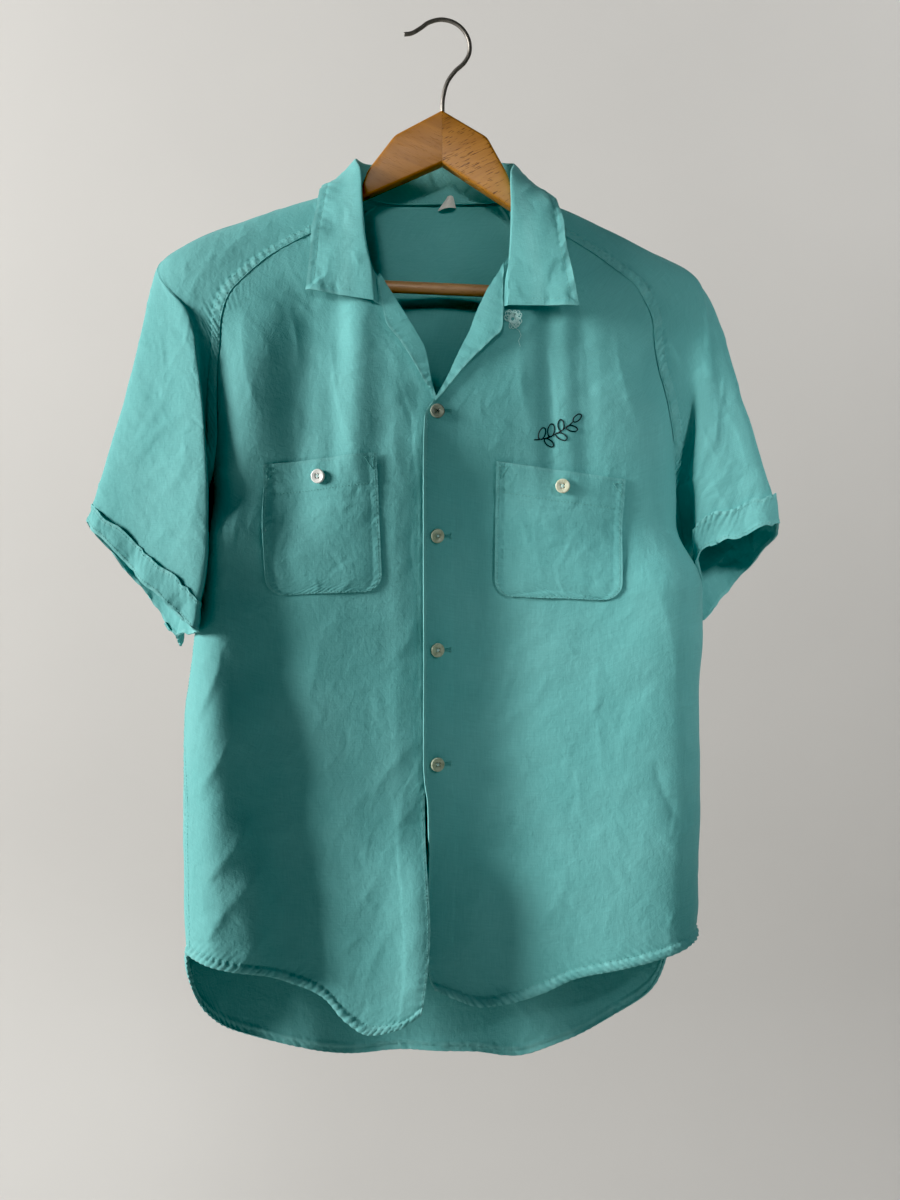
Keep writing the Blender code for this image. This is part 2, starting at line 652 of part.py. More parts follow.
def sew(seams):
    """Draw both sides of each seam back until their walls stand SEAM_GAP apart.

    A seam is two (grid, edge, span, wall), whose points match one to one. Where the two
    walls meet at an angle, or the seam itself turns a corner, their inner corners need more
    room than the gap alone.
    """
    moves = []
    for sides in seams:
        ways = []
        squares = []
        for grid, edge, span, wall in sides:
            outer, inner = edge_of(grid, edge)
            steps = np.linalg.norm(np.diff(outer[span], axis=0), axis=-1)
            steps = 0.5 * (np.append(steps, steps[-1]) + np.append(steps[0], steps))
            along = np.gradient(outer[span], axis=0)
            reach = np.linalg.norm(along, axis=-1)
            along = along / reach[:, None]
            way = inner[span] - outer[span]
            way = way / np.linalg.norm(way, axis=-1, keepdims=True)
            square = way - (way * along).sum(axis=-1, keepdims=True) * along
            ways.append(way)
            squares.append(square)
        slants = [np.linalg.norm(square, axis=-1) for square in squares]
        cosine = (squares[0] * squares[1]).sum(axis=-1) / (slants[0] * slants[1])
        half_angle = np.arccos(np.clip(cosine, -1.0, 1.0)) / 2.0
        for (grid, edge, span, wall), way, slant in zip(sides, ways, slants):
            pull = SEAM_GAP / 2.0 + wall / 2.0 / np.tan(np.clip(half_angle, 0.25, math.pi / 2.0))
            pull = pull / np.clip(slant, 0.4, 1.0) + 2.0 * wall * (1.0 - reach / steps)
            moves.append((edge_of(grid, edge)[0], span, way * pull[:, None]))
    for outer, span, move in moves:
        outer[span] += move


def sheet(name, grid, wall, material="cloth"):
    """A wall of cloth on a grid of points."""
    rows = grid.shape[0] - 1
    columns = grid.shape[1] - 1
    mesh = bmesh.new()
    bmesh.ops.create_grid(mesh, x_segments=columns, y_segments=rows, size=0.5)
    for vert in mesh.verts:
        row = round((vert.co.y + 0.5) * rows)
        column = round((vert.co.x + 0.5) * columns)
        vert.co = grid[row, column] * MM
    data = bpy.data.meshes.new(name)
    mesh.to_mesh(data)
    mesh.free()
    item = add_object(name, data, material)
    solidify = item.modifiers.new("wall", "SOLIDIFY")
    solidify.thickness = wall * MM
    solidify.offset = 0.0
    return item


def make_garment():
    """The back, fronts, sleeves and cuffs, sewn along their seams."""
    panel_rows = RAGLAN_ROWS + BODY_ROWS
    sleeve_rows = RAGLAN_ROWS + SLEEVE_ROWS
    raglan = slice(0, RAGLAN_ROWS + 1)
    below = slice(RAGLAN_ROWS, None)
    whole = slice(None)
    back = grid_of(back_place, BACK_COLUMNS, panel_rows)
    seams = []
    sheets = [("back", back, CLOTH_WALL)]
    for side, name, back_edge in ((RIGHT, "right", "start"), (LEFT, "left", "end")):
        front = grid_of(front_place(side), FRONT_COLUMNS, panel_rows)
        sleeve = grid_of(sleeve_place(side), SLEEVE_COLUMNS_ROUND, sleeve_rows)
        cuff = grid_of(cuff_place(side), SLEEVE_COLUMNS_ROUND, CUFF_ROWS)
        seams += [
            ((front, "end", raglan, CLOTH_WALL), (sleeve, "start", raglan, CLOTH_WALL)),
            ((back, back_edge, raglan, CLOTH_WALL), (sleeve, "end", raglan, CLOTH_WALL)),
            ((front, "end", below, CLOTH_WALL), (back, back_edge, below, CLOTH_WALL)),
            ((sleeve, "start", below, CLOTH_WALL), (sleeve, "end", below, CLOTH_WALL)),
            ((cuff, "start", whole, CUFF_WALL), (cuff, "end", whole, CUFF_WALL)),
            ((sleeve, "bottom", whole, CLOTH_WALL), (cuff, "top", whole, CUFF_WALL)),
        ]
        sheets += [("front_" + name, front, CLOTH_WALL), ("sleeve_" + name, sleeve, CLOTH_WALL),
                   ("cuff_" + name, cuff, CUFF_WALL)]
    sew(seams)
    for name, grid, wall in sheets:
        sheet(name, grid, wall)


def make_collar():
    sheet("collar", grid_of(collar_place, 30, 8), COLLAR_WALL)
    sheet("lapel_right", grid_of(lapel_place(RIGHT), 3, 8), FACING_WALL)
    sheet("lapel_left", grid_of(lapel_place(LEFT), 4, 12), FACING_WALL)


def make_pockets():
    sheet("pocket_right", grid_of(pocket_place(RIGHT), POCKET_COLUMNS, POCKET_ROWS), CLOTH_WALL)
    sheet("pocket_left", grid_of(pocket_place(LEFT), POCKET_COLUMNS, POCKET_ROWS), CLOTH_WALL)


def make_button(name, side, x, drop, lift):
    """A round shirt button with a raised rim, facing out of the cloth it lies on."""
    radius = BUTTON_DIAMETER / 2.0 * MM
    mesh = bmesh.new()
    bmesh.ops.create_cone(mesh, cap_ends=True, cap_tris=False, segments=18, radius1=radius,
                          radius2=radius, depth=BUTTON_THICKNESS * MM)
    face = max(mesh.faces, key=lambda item: item.calc_center_median().z)
    rim = [edge for edge in mesh.edges if len(edge.link_faces) == 2 and edge.calc_face_angle() > 1.0]
    bmesh.ops.inset_region(mesh, faces=[face], thickness=BUTTON_RIM * MM)
    bmesh.ops.translate(mesh, verts=face.verts, vec=(0.0, 0.0, -BUTTON_SINK * MM))
    bmesh.ops.bevel(mesh, geom=rim, offset=0.5 * MM, segments=1, profile=0.5, affect="EDGES", material=-1)
    data = bpy.data.meshes.new(name)
    mesh.to_mesh(data)
    mesh.free()
    item = add_object(name, data, "button_shell")
    reach = BUTTON_DIAMETER / 2.0
    x_around = np.array((x, x - reach, x + reach, x, x))
    drop_around = np.array((drop, drop, drop, drop - reach, drop + reach))
    middle, west, east, above, below = front_over(side, x_around, drop_around, lift)
    item.location = Vector(middle) * MM
    item.rotation_euler = Vector(np.cross(above - below, west - east)).to_track_quat("Z", "Y").to_euler()
    return item


def make_buttons():
    stand_off = CLOTH_WALL / 2.0 + BUTTON_CLEARANCE + BUTTON_THICKNESS / 2.0
    for index, (drop, room) in enumerate(FRONT_BUTTONS):
        make_button(f"front_button_{index + 1}", LEFT, FRONT_BUTTON_X, drop, stand_off + room)
    for side, name in ((RIGHT, "right"), (LEFT, "left")):
        x, drop = POCKET_BUTTONS[side]
        make_button("pocket_button_" + name, side, x, drop, stand_off + pocket_lift(side, 0.5, 0.0))


def make_label():
    """A small folded tape caught in the back neck seam."""
    def place(across, down):
        x = -3.0 + 15.0 * across + 3.0 * np.sin(down * math.pi)
        y = 23.0 - 3.0 * np.sin(down * math.pi) - 1.5 * across
        z = -144.0 + 10.0 * (1.0 - down) * (0.5 + 0.5 * across) - 3.0 * down
        return np.stack([x, y, z], axis=-1)
    sheet("neck_label", grid_of(place, 3, 4), LABEL_WALL, material="label_tape")


def make_arm(name, side):
    outline = ARM_OUTLINES[side]
    points = list(outline["top"]) + list(outline["tip"]) + list(outline["bottom"])
    points = [(x + (side * JOINT_GAP / 2.0 if abs(x) < 1.0 else 0.0), drop) for x, drop in points]
    mesh = bmesh.new()
    half = HANGER_THICKNESS / 2.0
    verts = [mesh.verts.new((x * MM, -half * MM, -drop * MM)) for x, drop in points]
    face = mesh.faces.new(verts)
    extruded = bmesh.ops.extrude_face_region(mesh, geom=[face])
    moved = [item for item in extruded["geom"] if isinstance(item, bmesh.types.BMVert)]
    bmesh.ops.translate(mesh, verts=moved, vec=(0.0, HANGER_THICKNESS * MM, 0.0))
    bmesh.ops.recalc_face_normals(mesh, faces=mesh.faces)
    rounded = [edge for edge in mesh.edges
               if abs(edge.verts[0].co.y - edge.verts[1].co.y) < 1e-6
               and max(abs(vert.co.x) for vert in edge.verts) > 2.0 * MM]
    bmesh.ops.bevel(mesh, geom=rounded, offset=HANGER_EDGE_ROUND * MM, segments=2, profile=0.5,
                    affect="EDGES", material=-1, clamp_overlap=True)
    data = bpy.data.meshes.new(name)
    mesh.to_mesh(data)
    mesh.free()
    return add_object(name, data, "beech")


def make_hanger():
    make_arm("hanger_arm_right", RIGHT)
    make_arm("hanger_arm_left", LEFT)
    (start_x, start_drop), (end_x, end_drop) = BAR_ENDS
    length = math.hypot(end_x - start_x, end_drop - start_drop)
    mesh = bmesh.new()
    bmesh.ops.create_cone(mesh, cap_ends=True, cap_tris=False, segments=20,
                          radius1=BAR_DIAMETER / 2.0 * MM, radius2=BAR_DIAMETER / 2.0 * MM,
                          depth=length * MM)
    data = bpy.data.meshes.new("hanger_bar")
    mesh.to_mesh(data)
    mesh.free()
    bar = add_object("hanger_bar", data, "beech")
    bar.location = (0.5 * (start_x + end_x) * MM, 0.0, -0.5 * (start_drop + end_drop) * MM)
    bar.rotation_euler = (0.0, math.radians(90) + math.atan2(end_drop - start_drop, end_x - start_x), 0.0)


def make_hook():
    """A round wire bent along the hook's route, in the hanger's plane."""
    route = np.array([(x, 0.0, -drop) for x, drop in HOOK_ROUTE])
    route = spline_weights(np.arange(HOOK_STEPS + 1) / HOOK_STEPS, len(route)) @ route
    along = np.gradient(route, axis=0)
    along = along / np.linalg.norm(along, axis=-1, keepdims=True)
    mesh = bmesh.new()
    rings = []
    for centre, way in zip(route, along):
        ring = []
        for index in range(HOOK_SIDES):
            angle = 2.0 * math.pi * index / HOOK_SIDES
            out = np.array((-way[2] * math.cos(angle), math.sin(angle), way[0] * math.cos(angle)))
            ring.append(mesh.verts.new((centre + WIRE_DIAMETER / 2.0 * out) * MM))
        rings.append(ring)
    for here, there in zip(rings, rings[1:]):
        for index in range(HOOK_SIDES):
            after = (index + 1) % HOOK_SIDES
            mesh.faces.new((here[index], here[after], there[after], there[index]))
    mesh.faces.new(rings[0])
    mesh.faces.new(rings[-1])
    bmesh.ops.recalc_face_normals(mesh, faces=mesh.faces)
    data = bpy.data.meshes.new("hanger_hook")
    mesh.to_mesh(data)
    mesh.free()
    add_object("hanger_hook", data, "steel_wire")


def main():
    clear_scene()
    make_garment()
    make_collar()
    make_pockets()
    make_buttons()
    make_label()
    make_hanger()
    make_hook()


main()
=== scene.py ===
# %% [markdown]
# # A bowling shirt on its hanger
# The shirt hangs from a wooden hanger and carries nothing but its own weight, so everything
# that makes it look like cloth is in its surface: long hanging folds, puckers beside every
# seam, rolled hems and small crumples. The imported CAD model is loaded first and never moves.
# Each cloth piece is then laid on the same measured form as its solid, many times finer.

# %% Load the fixed frame
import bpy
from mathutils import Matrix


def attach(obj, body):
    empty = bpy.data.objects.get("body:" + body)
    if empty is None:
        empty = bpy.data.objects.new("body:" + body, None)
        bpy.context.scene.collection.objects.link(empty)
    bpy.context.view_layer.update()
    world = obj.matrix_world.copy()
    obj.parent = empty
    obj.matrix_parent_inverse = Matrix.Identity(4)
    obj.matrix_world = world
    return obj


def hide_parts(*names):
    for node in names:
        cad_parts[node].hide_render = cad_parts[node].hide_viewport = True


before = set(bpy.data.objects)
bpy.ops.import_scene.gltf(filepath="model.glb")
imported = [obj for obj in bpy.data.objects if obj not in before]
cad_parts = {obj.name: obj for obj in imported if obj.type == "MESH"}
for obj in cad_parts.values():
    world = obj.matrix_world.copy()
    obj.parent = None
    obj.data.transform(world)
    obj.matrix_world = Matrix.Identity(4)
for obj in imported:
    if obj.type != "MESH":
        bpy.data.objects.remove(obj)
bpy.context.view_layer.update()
print("nodes in the frame:", len(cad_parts))

# %% [markdown]
# Tables are in millimetres, which a tailor would read off a tape, and MM turns them into
# Blender's metres. A "drop" is a distance below the hook. "Right" and "left" are the
# wearer's, so the right side lies at negative X.

# %% Units and helpers from the standard library
import math

import bmesh
import bpy
import numpy as np
from mathutils import Matrix, Vector

MM = 0.001
RIGHT = -1
LEFT = 1
SIDES = ((RIGHT, "right"), (LEFT, "left"))
print("sides:", {name: side for side, name in SIDES}, "and one millimetre is", MM, "m")

# %% [markdown]
# The camera stands a little over a metre in front of the shirt, level with its middle. It
# comes first because it says which folds matter most.

# %% Camera
CAMERA_PLACE = (0.0074, -1.1, -0.477)
LENS = 40.0
SENSOR = 36.0
camera = bpy.data.objects.new("camera", bpy.data.cameras.new("camera"))
bpy.context.scene.collection.objects.link(camera)
camera.data.sensor_width = SENSOR
camera.data.lens = LENS
camera.location = CAMERA_PLACE
camera.rotation_euler = (math.radians(90.0), 0.0, 0.0)
bpy.context.scene.camera = camera
print("camera stands", round(-camera.location.y, 2), "m in front")

# %% [markdown]
# Every finish starts from Blender's Principled shader with a few plain values, and nodes then
# vary its colour. The studio's paper is matt, with a faint mottle, and painted shade makes it
# darker towards the floor.

# %% Paper paint


def bare_finish(name, **values):
    """A new material with a few plain values: the material, its node tree and its shader."""
    material = bpy.data.materials.new(name)
    material.use_nodes = True
    tree = material.node_tree
    shader = tree.nodes["Principled BSDF"]
    for label, value in values.items():
        shader.inputs[label.replace("_", " ")].default_value = value
    return material, tree, shader


def node(tree, kind, inputs=(), **settings):
    """A node with its settings, its inputs linked or filled in by name or number."""
    made = tree.nodes.new("ShaderNode" + kind)
    for key, value in settings.items():
        setattr(made, key, value)
    for key, value in inputs:
        if isinstance(value, bpy.types.NodeSocket):
            tree.links.new(value, made.inputs[key])
        else:
            made.inputs[key].default_value = value
    return made


def plain_paint(name, colour):
    """A matt wall paint with a faint mottle, and painted shade that darkens it towards the floor."""
    material, tree, shader = bare_finish(name, Roughness=0.9)
    place = node(tree, "TexCoord").outputs["Object"]
    mottle = node(tree, "TexNoise", (("Vector", place), ("Scale", 2.5), ("Detail", 3.0)))
    ramp = node(tree, "ValToRGB", ((0, mottle.outputs["Fac"]),))
    ramp.color_ramp.elements[0].color = tuple(0.95 * part for part in colour) + (1.0,)
    ramp.color_ramp.elements[1].color = tuple(colour) + (1.0,)
    height = node(tree, "SeparateXYZ", ((0, place),)).outputs["Z"]
    # Painted shade: the paper's colour is darkened towards the floor, down to 0.84 of itself.
    painted_floor_shade = node(tree, "MapRange", ((0, height), (1, -1.5), (2, 0.5), (3, 0.84))).outputs[0]
    shade = node(tree, "VectorMath", ((0, ramp.outputs[0]), ("Scale", painted_floor_shade)), operation="SCALE")
    tree.links.new(shade.outputs[0], shader.inputs["Base Color"])
    return material


paper_paint = plain_paint("studio_paper", (0.72, 0.708, 0.685))
print(paper_paint.name, "has", len(paper_paint.node_tree.nodes), "nodes")

# %% [markdown]
# A studio sweep is one sheet of paper that runs from the floor up the wall in a curve, so no
# corner line shows behind the object. A plain grid is bent: its long direction follows the
# floor, a quarter circle and then the wall.

# %% Studio sweep
SWEEP_FLOOR = -2.06
SWEEP_WALL = 2.35
SWEEP_BEND = 0.7
SWEEP_FLAT = 5.0
SWEEP_LENGTH = 10.0
SWEEP_WIDTH = 9.0


def sweep_point(run):
    """Y and Z of the sweep after a run in metres from its front edge."""
    arc = SWEEP_BEND * math.pi / 2.0
    if run < SWEEP_FLAT:
        return SWEEP_WALL - SWEEP_BEND - SWEEP_FLAT + run, SWEEP_FLOOR
    if run < SWEEP_FLAT + arc:
        angle = (run - SWEEP_FLAT) / SWEEP_BEND
        return (SWEEP_WALL - SWEEP_BEND + SWEEP_BEND * math.sin(angle),
                SWEEP_FLOOR + SWEEP_BEND * (1.0 - math.cos(angle)))
    return SWEEP_WALL, SWEEP_FLOOR + SWEEP_BEND + run - SWEEP_FLAT - arc


def link_mesh(mesh, name, material=None, smooth=True):
    """Turn a bmesh into an object of that name at the origin, its faces shaded smooth."""
    if smooth:
        for face in mesh.faces:
            face.smooth = True
    data = bpy.data.meshes.new(name)
    mesh.to_mesh(data)
    mesh.free()
    piece = bpy.data.objects.new(name, data)
    bpy.context.scene.collection.objects.link(piece)
    if material is not None:
        data.materials.append(material)
    return piece


paper = bmesh.new()
bmesh.ops.create_grid(paper, x_segments=1, y_segments=60, size=0.5)
for vert in paper.verts:
    y, z = sweep_point((vert.co.y + 0.5) * SWEEP_LENGTH)
    vert.co = (vert.co.x * SWEEP_WIDTH, y, z)
bmesh.ops.recalc_face_normals(paper, faces=paper.faces)
sweep = link_mesh(paper, "studio_sweep", paper_paint)
print("sweep stands at y =", SWEEP_WALL)

# %% [markdown]
# Cloth is read from its shading, so one broad soft light stands high on the viewer's left and
# rakes across the folds. A faint even sky and a weak light in front keep the valleys from
# going black, and two more light the back and wash the paper. One narrow spot reaches the
# back panel through the neck, another the sleeve on the right. Last, the view's black level
# is raised a little, which deepens the darkest folds and changes no material.

# %% Lights
view = bpy.context.scene.view_settings
view.view_transform = "Standard"
view.use_curve_mapping = True
view.curve_mapping.black_level = (0.020, 0.018, 0.018)
sky = bpy.data.worlds.new("sky")
sky.use_nodes = True
sky.node_tree.nodes["Background"].inputs["Color"].default_value = (0.93, 0.97, 1.0, 1.0)
sky.node_tree.nodes["Background"].inputs["Strength"].default_value = 0.080
bpy.context.scene.world = sky
WHITE = (1.0, 1.0, 1.0)
SOFT_LIGHTS = (
    # name, place, target, size, watts, colour
    ("key", (-8.75, -2.1, 1.75), (0.0, 0.0, -0.45), 3.0, 1360.0, (1.0, 0.985, 0.96)),
    ("front_fill", (2.4, -3.2, -0.1), (0.0, 0.0, -0.45), 2.4, 4.5, WHITE),
    ("rear_fill", (0.9, 2.25, 0.2), (0.9, 0.0, 0.2), 1.8, 9.0, WHITE),
    ("wall_wash", (2.7, 0.9, 1.7), (1.3, 2.35, 0.9), 1.0, 16.0, WHITE),
)
SPOTS = (
    # name, place, target, spread in degrees, watts, colour
    ("neck_fill", (-0.16, -0.90, 0.10), (0.0, 0.02, -0.195), 12.5, 28.0, (1.0, 1.0, 0.98)),
    ("right_fill", (1.30, -1.50, 0.50), (0.29, 0.0, -0.43), 19.0, 95.0, (0.97, 1.0, 1.0)),
)
SPOT_SOFTNESS = 0.12


def hang_light(name, kind, place, target, watts, colour):
    """A light of a kind at a place, turned to look at its target."""
    lamp = bpy.data.objects.new(name, bpy.data.lights.new(name, kind))
    bpy.context.scene.collection.objects.link(lamp)
    lamp.data.energy = watts
    lamp.data.color = colour
    lamp.location = place
    lamp.rotation_euler = (Vector(target) - Vector(place)).to_track_quat("-Z", "Y").to_euler()
    return lamp


for name, place, target, size, watts, colour in SOFT_LIGHTS:
    lamp = hang_light(name, "AREA", place, target, watts, colour)
    lamp.data.size = size
    lamp.visible_camera = False
for name, place, target, spread, watts, colour in SPOTS:
    lamp = hang_light(name, "SPOT", place, target, watts, colour)
    lamp.data.spot_size = math.radians(spread)
    lamp.data.spot_blend = 1.0
    lamp.data.shadow_soft_size = SPOT_SOFTNESS

# %% [markdown]
# The shirt's form starts as rings, one for each level, a little like the hoops of a barrel.
# Each ring has its own half widths and depths, and is squarer than an ellipse. Short tables
# with a smooth curve through them keep the form easy to change.

# %% Rings and seams of the shirt
RING_SQUARENESS = 2.5
FOLD_FADE = 55.0
FRONT_CORNER = 68.0
# The shirt's rings. half_right and half_left: how far the ring reaches to each side;
# front and back: its depth from the hanger's plane; widest: the Y of its widest place.
BODY = {
    "drop":       (136, 147, 162, 175, 190, 206, 225, 250, 275, 300, 330, 360, 400, 440, 480, 510,
                   560, 640, 700, 760, 820, 880),
    "half_right": (66, 103, 151, 184, 218, 233, 234, 217, 204, 196, 189, 185, 184, 186, 188, 191,
                   197, 202, 201, 197, 192, 188),
    "half_left":  (58, 84, 113, 139, 171, 199, 219, 206, 192, 185, 183, 184, 184, 182, 181, 182,
                   184, 186, 184, 186, 188, 188),
    "front":      (16, 20, 24, 28, 32, 36, 40, 44, 47, 50, 52, 53, 51, 47, 42, 38,
                   34, 31, 30, 29, 28, 27),
    "back":       (24, 24.5, 25, 25, 25.5, 26, 27, 28, 29, 30, 31, 31, 31, 31, 31, 31,
                   31, 32, 32, 33, 33, 33),
    "widest":     (0, 0, 0, 0, 0, -1, -2, -4, -7, -10, -13, -15, -17, -18, -18, -17,
                   -15, -12, -10, -8, -6, -5),
}

# Where the raglan seams, and below the armpit the side seams, run round the ring:
# degrees from the centre front for the fronts and sleeves, and for the back.
SEAMS = {
    "drop":        (146, 178, 197, 215, 232, 250, 275, 300, 322, 345, 368, 384, 396, 480, 600, 650,
                    880),
    "front_right": (42, 29, 33, 38, 43, 49, 54.5, 59.5, 63, 66, 72, 82, 91, 91, 80, 75,
                    75),
    "front_left":  (44, 36, 37.5, 39.5, 43.5, 50, 57.5, 64, 70, 78, 88, 94, 98, 98, 98, 98,
                    98),
    "back_right":  (148, 155, 151, 146, 142, 138, 132, 126, 120, 113, 104, 97, 91, 91, 80, 75,
                    75),
    "back_left":   (145, 153, 149, 145, 141, 137, 132, 127, 122, 116, 108, 102, 98, 98, 98, 98,
                    98),
}

# The sections that the raglan seams are worked out at: the drop of each on the front seam
# and on the back seam, from the neck to the armpit.
RAGLAN_FRONT = (156, 178, 200, 220, 244, 275, 318, 360, 396)
RAGLAN_BACK = (146, 170, 194, 217, 243, 275, 318, 360, 396)
RAGLAN_ROWS = 12
BODY_ROWS = 12

# The opening: X of each front's own edge. Above the top button it is the fold of the lapel.
OPENING_RIGHT = {
    "drop": (150, 180, 195, 210, 235, 255, 279, 307, 318, 330, 400, 590, 605, 620, 634, 665, 700,
             740, 800, 830),
    "x":    (-67, -64, -62, -56, -38, -25.5, -12, -6, -3, 2, 6, 6, 2, -6, -13, -12.5, -10.5, -8.5,
             -14, -26),
}
OPENING_LEFT = {
    "drop": (150, 178, 195, 207, 230, 260, 280, 301, 317, 334, 400, 608, 624, 640, 660, 680, 705,
             740, 768, 783, 792, 800),
    "x":    (63, 60.5, 58, 52, 37, 24.5, 15, 5.5, -3.3, -12.6, -14, -14, -13, -11, -10.5, -10, -11,
             -13, -12, -9, -5, -3),
}

# Hems: the drop of each edge across the panel, 0 at the opening (or the right side seam
# for the back) and 1 at the side seam.
FRONT_HEM = {
    "across": (0.0, 0.06, 0.16, 0.27, 0.38, 0.50, 0.64, 0.82, 1.0),
    "right":  (807, 820, 826, 816, 796, 785, 774, 766, 761),
    "left":   (792, 800, 807, 804, 795, 781, 771, 757, 742),
}
BACK_HEM = {
    "across": (0.0, 0.05, 0.11, 0.18, 0.27, 0.36, 0.45, 0.52, 0.60, 0.66, 0.73, 0.81, 0.90, 0.95,
               1.0),
    "drop":   (761, 783, 812, 826, 841, 853, 862, 859, 860, 865, 849, 826, 800, 778, 742),
}
print("rings:", len(BODY["drop"]), "and rows of seams:", len(SEAMS["drop"]))

# %% [markdown]
# Under the chest the cloth hangs in long soft folds. Each is a line down one face with a
# half width and a rise: above zero it stands out as a ridge, below zero it falls in as a
# valley.

# %% Hanging folds
FOLDS = (
    # face, x_top, drop_top, x_bottom, drop_bottom, half_width, rise
    ("front", -163, 430, -173, 520, 26, 19),
    ("front", -174, 575, -174, 790, 30, 27),
    ("front", -138, 400, -104, 780, 24, -4),
    ("front", -152, 290, -160, 400, 24, 6),
    ("front", -106, 262, -114, 390, 22, -8),
    ("front", -82, 250, -85, 350, 10, -3),
    ("front", -64, 260, -66, 350, 12, 3),
    ("front", -14, 350, -16, 770, 17, 5),
    ("front", 34, 400, 58, 790, 42, -13),
    ("front", 85, 262, 88, 360, 9, -3.5),
    ("front", 112, 270, 114, 350, 9, -2.5),
    ("front", 160, 320, 188, 500, 44, 8),
    ("front", 203, 470, 201, 790, 66, 31),
    ("back", -160, 300, -158, 820, 24, 4),
    ("back", -108, 280, -112, 850, 26, -5),
    ("back", -52, 240, -48, 850, 26, 4),
    ("back", 6, 230, 2, 850, 26, -4),
    ("back", 58, 250, 64, 850, 26, 4),
    ("back", 112, 290, 106, 840, 26, -5),
    ("back", 162, 320, 158, 800, 24, 4),
)
print("hanging folds:", len(FOLDS), "of which valleys:", sum(fold[-1] < 0 for fold in FOLDS))

# %% [markdown]
# A raglan sleeve is cut in one with the shoulder. Near the neck it lies on the body's ring.
# Past the shoulder it hangs free, and each section is a loop through a few control points.

# %% Sleeve sections
# Over the shoulder a sleeve lies on the body's ring: the drop at which each section,
# from the neck outwards, crosses the ridge.
SHOULDERS = {RIGHT: (141, 153, 166, 181, 199), LEFT: (141, 161, 180, 195, 208)}

# Beyond it a sleeve hangs free, a row for each section down to the cuff's edge. fold: the
# front fold of the sleeve; tuck: how far back and out the cloth is pushed between that fold
# and the seam; ridge: the outer edge; back: the hind middle; under: the underarm seam, used
# below the armpit.
SLEEVE_COLUMNS = ("fold_x", "fold_y", "fold_drop", "tuck", "ridge_x", "ridge_y", "ridge_drop",
                  "back_x", "back_y", "back_drop", "under_x", "under_y", "under_drop")
SLEEVES = {
    RIGHT: (
        (-203, -33, 250, 1, -238.5, 0, 220, -216, 24, 254, 0, 0, 0),
        (-191, -46, 307, 9, -246, -2, 257, -221, 28, 304, 0, 0, 0),
        (-186, -52, 356, 12, -256.5, -4, 300, -228, 30, 350, 0, 0, 0),
        (-184, -54, 402, 12, -270, -5, 348, -238, 31, 392, 0, 0, 0),
        (-184, -56, 445, 13, -281, -6, 386, -246, 30, 424, -206, 4, 448),
        (-190, -57, 477, 12, -286, -6, 400, -250, 29, 446, -213, 5, 485),
        (-195, -56, 500, 11, -292, -6, 412, -254, 26, 466, -218, 2, 512),
    ),
    LEFT: (
        (212, -20, 252, 0, 221, -2, 232, 206, 25, 256, 0, 0, 0),
        (208, -30, 300, 5, 231, -12, 270, 207, 27, 302, 0, 0, 0),
        (207, -34, 340, 7, 241, -24, 312, 213, 26, 348, 0, 0, 0),
        (206, -35, 372, 6, 252, -34, 354, 222, 22, 386, 0, 0, 0),
        (206, -35, 396, 4, 259, -38, 380, 232, 18, 414, 202, 6, 440),
        (207, -35, 415, 3, 264, -40, 396, 242, 16, 434, 204, 5, 474),
        (210, -35, 437, 2, 268, -41, 418, 252, 14, 456, 207, 0, 501),
    ),
}
TUCK_SHARE = 0.45
SLEEVE_BULGE = {RIGHT: 4.0, LEFT: 6.0}
CUFF_SECTION = 10
EDGE_SECTION = 11
SLEEVE_ROWS = 4
for side, name in SIDES:
    print(name, "sleeve:", len(SHOULDERS[side]), "sections on the ring,", len(SLEEVES[side]), "beyond it")

# %% [markdown]
# The collar, the turned-out facings and the pockets are rows of points too. All lie over the
# fronts and the back, so a few millimetres of lift say how far each stands off.

# %% Collar, lapel and pocket tables
# The collar, a row for each station from the right point round the neck to the left one.
# seam: where it joins the neck; roll: its fold; edge: its outer edge.
COLLAR_COLUMNS = ("seam_x", "seam_y", "seam_drop", "roll_x", "roll_y", "roll_drop",
                  "edge_x", "edge_y", "edge_drop")
COLLAR = (
    (-49.5, -46, 242.5, -54, -49.5, 240.5, -107, -45, 231),
    (-52.5, -43.5, 220, -56, -49.5, 216, -104.5, -42, 207),
    (-58.5, -39.5, 201, -60.5, -47, 191, -102, -38, 180),
    (-66, -31.5, 174, -63, -40, 160, -99, -30, 158),
    (-70, -21, 150, -65, -23, 131, -96, -16, 143),
    (-70.5, -4, 139.5, -70.5, 1, 113, -94, 6, 138),
    (-64, 14, 141, -63.5, 20.5, 111.5, -86, 30, 150),
    (-38, 22.8, 143.4, -38, 30, 115, -48, 40, 159),
    (0, 24.6, 143.4, 0, 31.5, 116.5, 0, 43, 161),
    (34, 22.6, 143.4, 34, 30, 115.5, 44, 40, 160),
    (56, 15, 142.5, 52, 22, 112, 76, 31, 156),
    (62, -3, 140, 60.5, 4, 116, 86, 7, 146),
    (61, -20, 156, 57, -19, 131, 92, -22, 153),
    (61, -32, 176, 57, -36, 160, 97, -41, 172),
    (58, -39, 199, 56.5, -43, 187, 99, -50, 196),
    (52, -44.5, 222, 54.5, -47, 218, 104, -55, 221),
    (50, -47.5, 245, 54.5, -49.5, 244.5, 108.5, -57, 246.5),
)

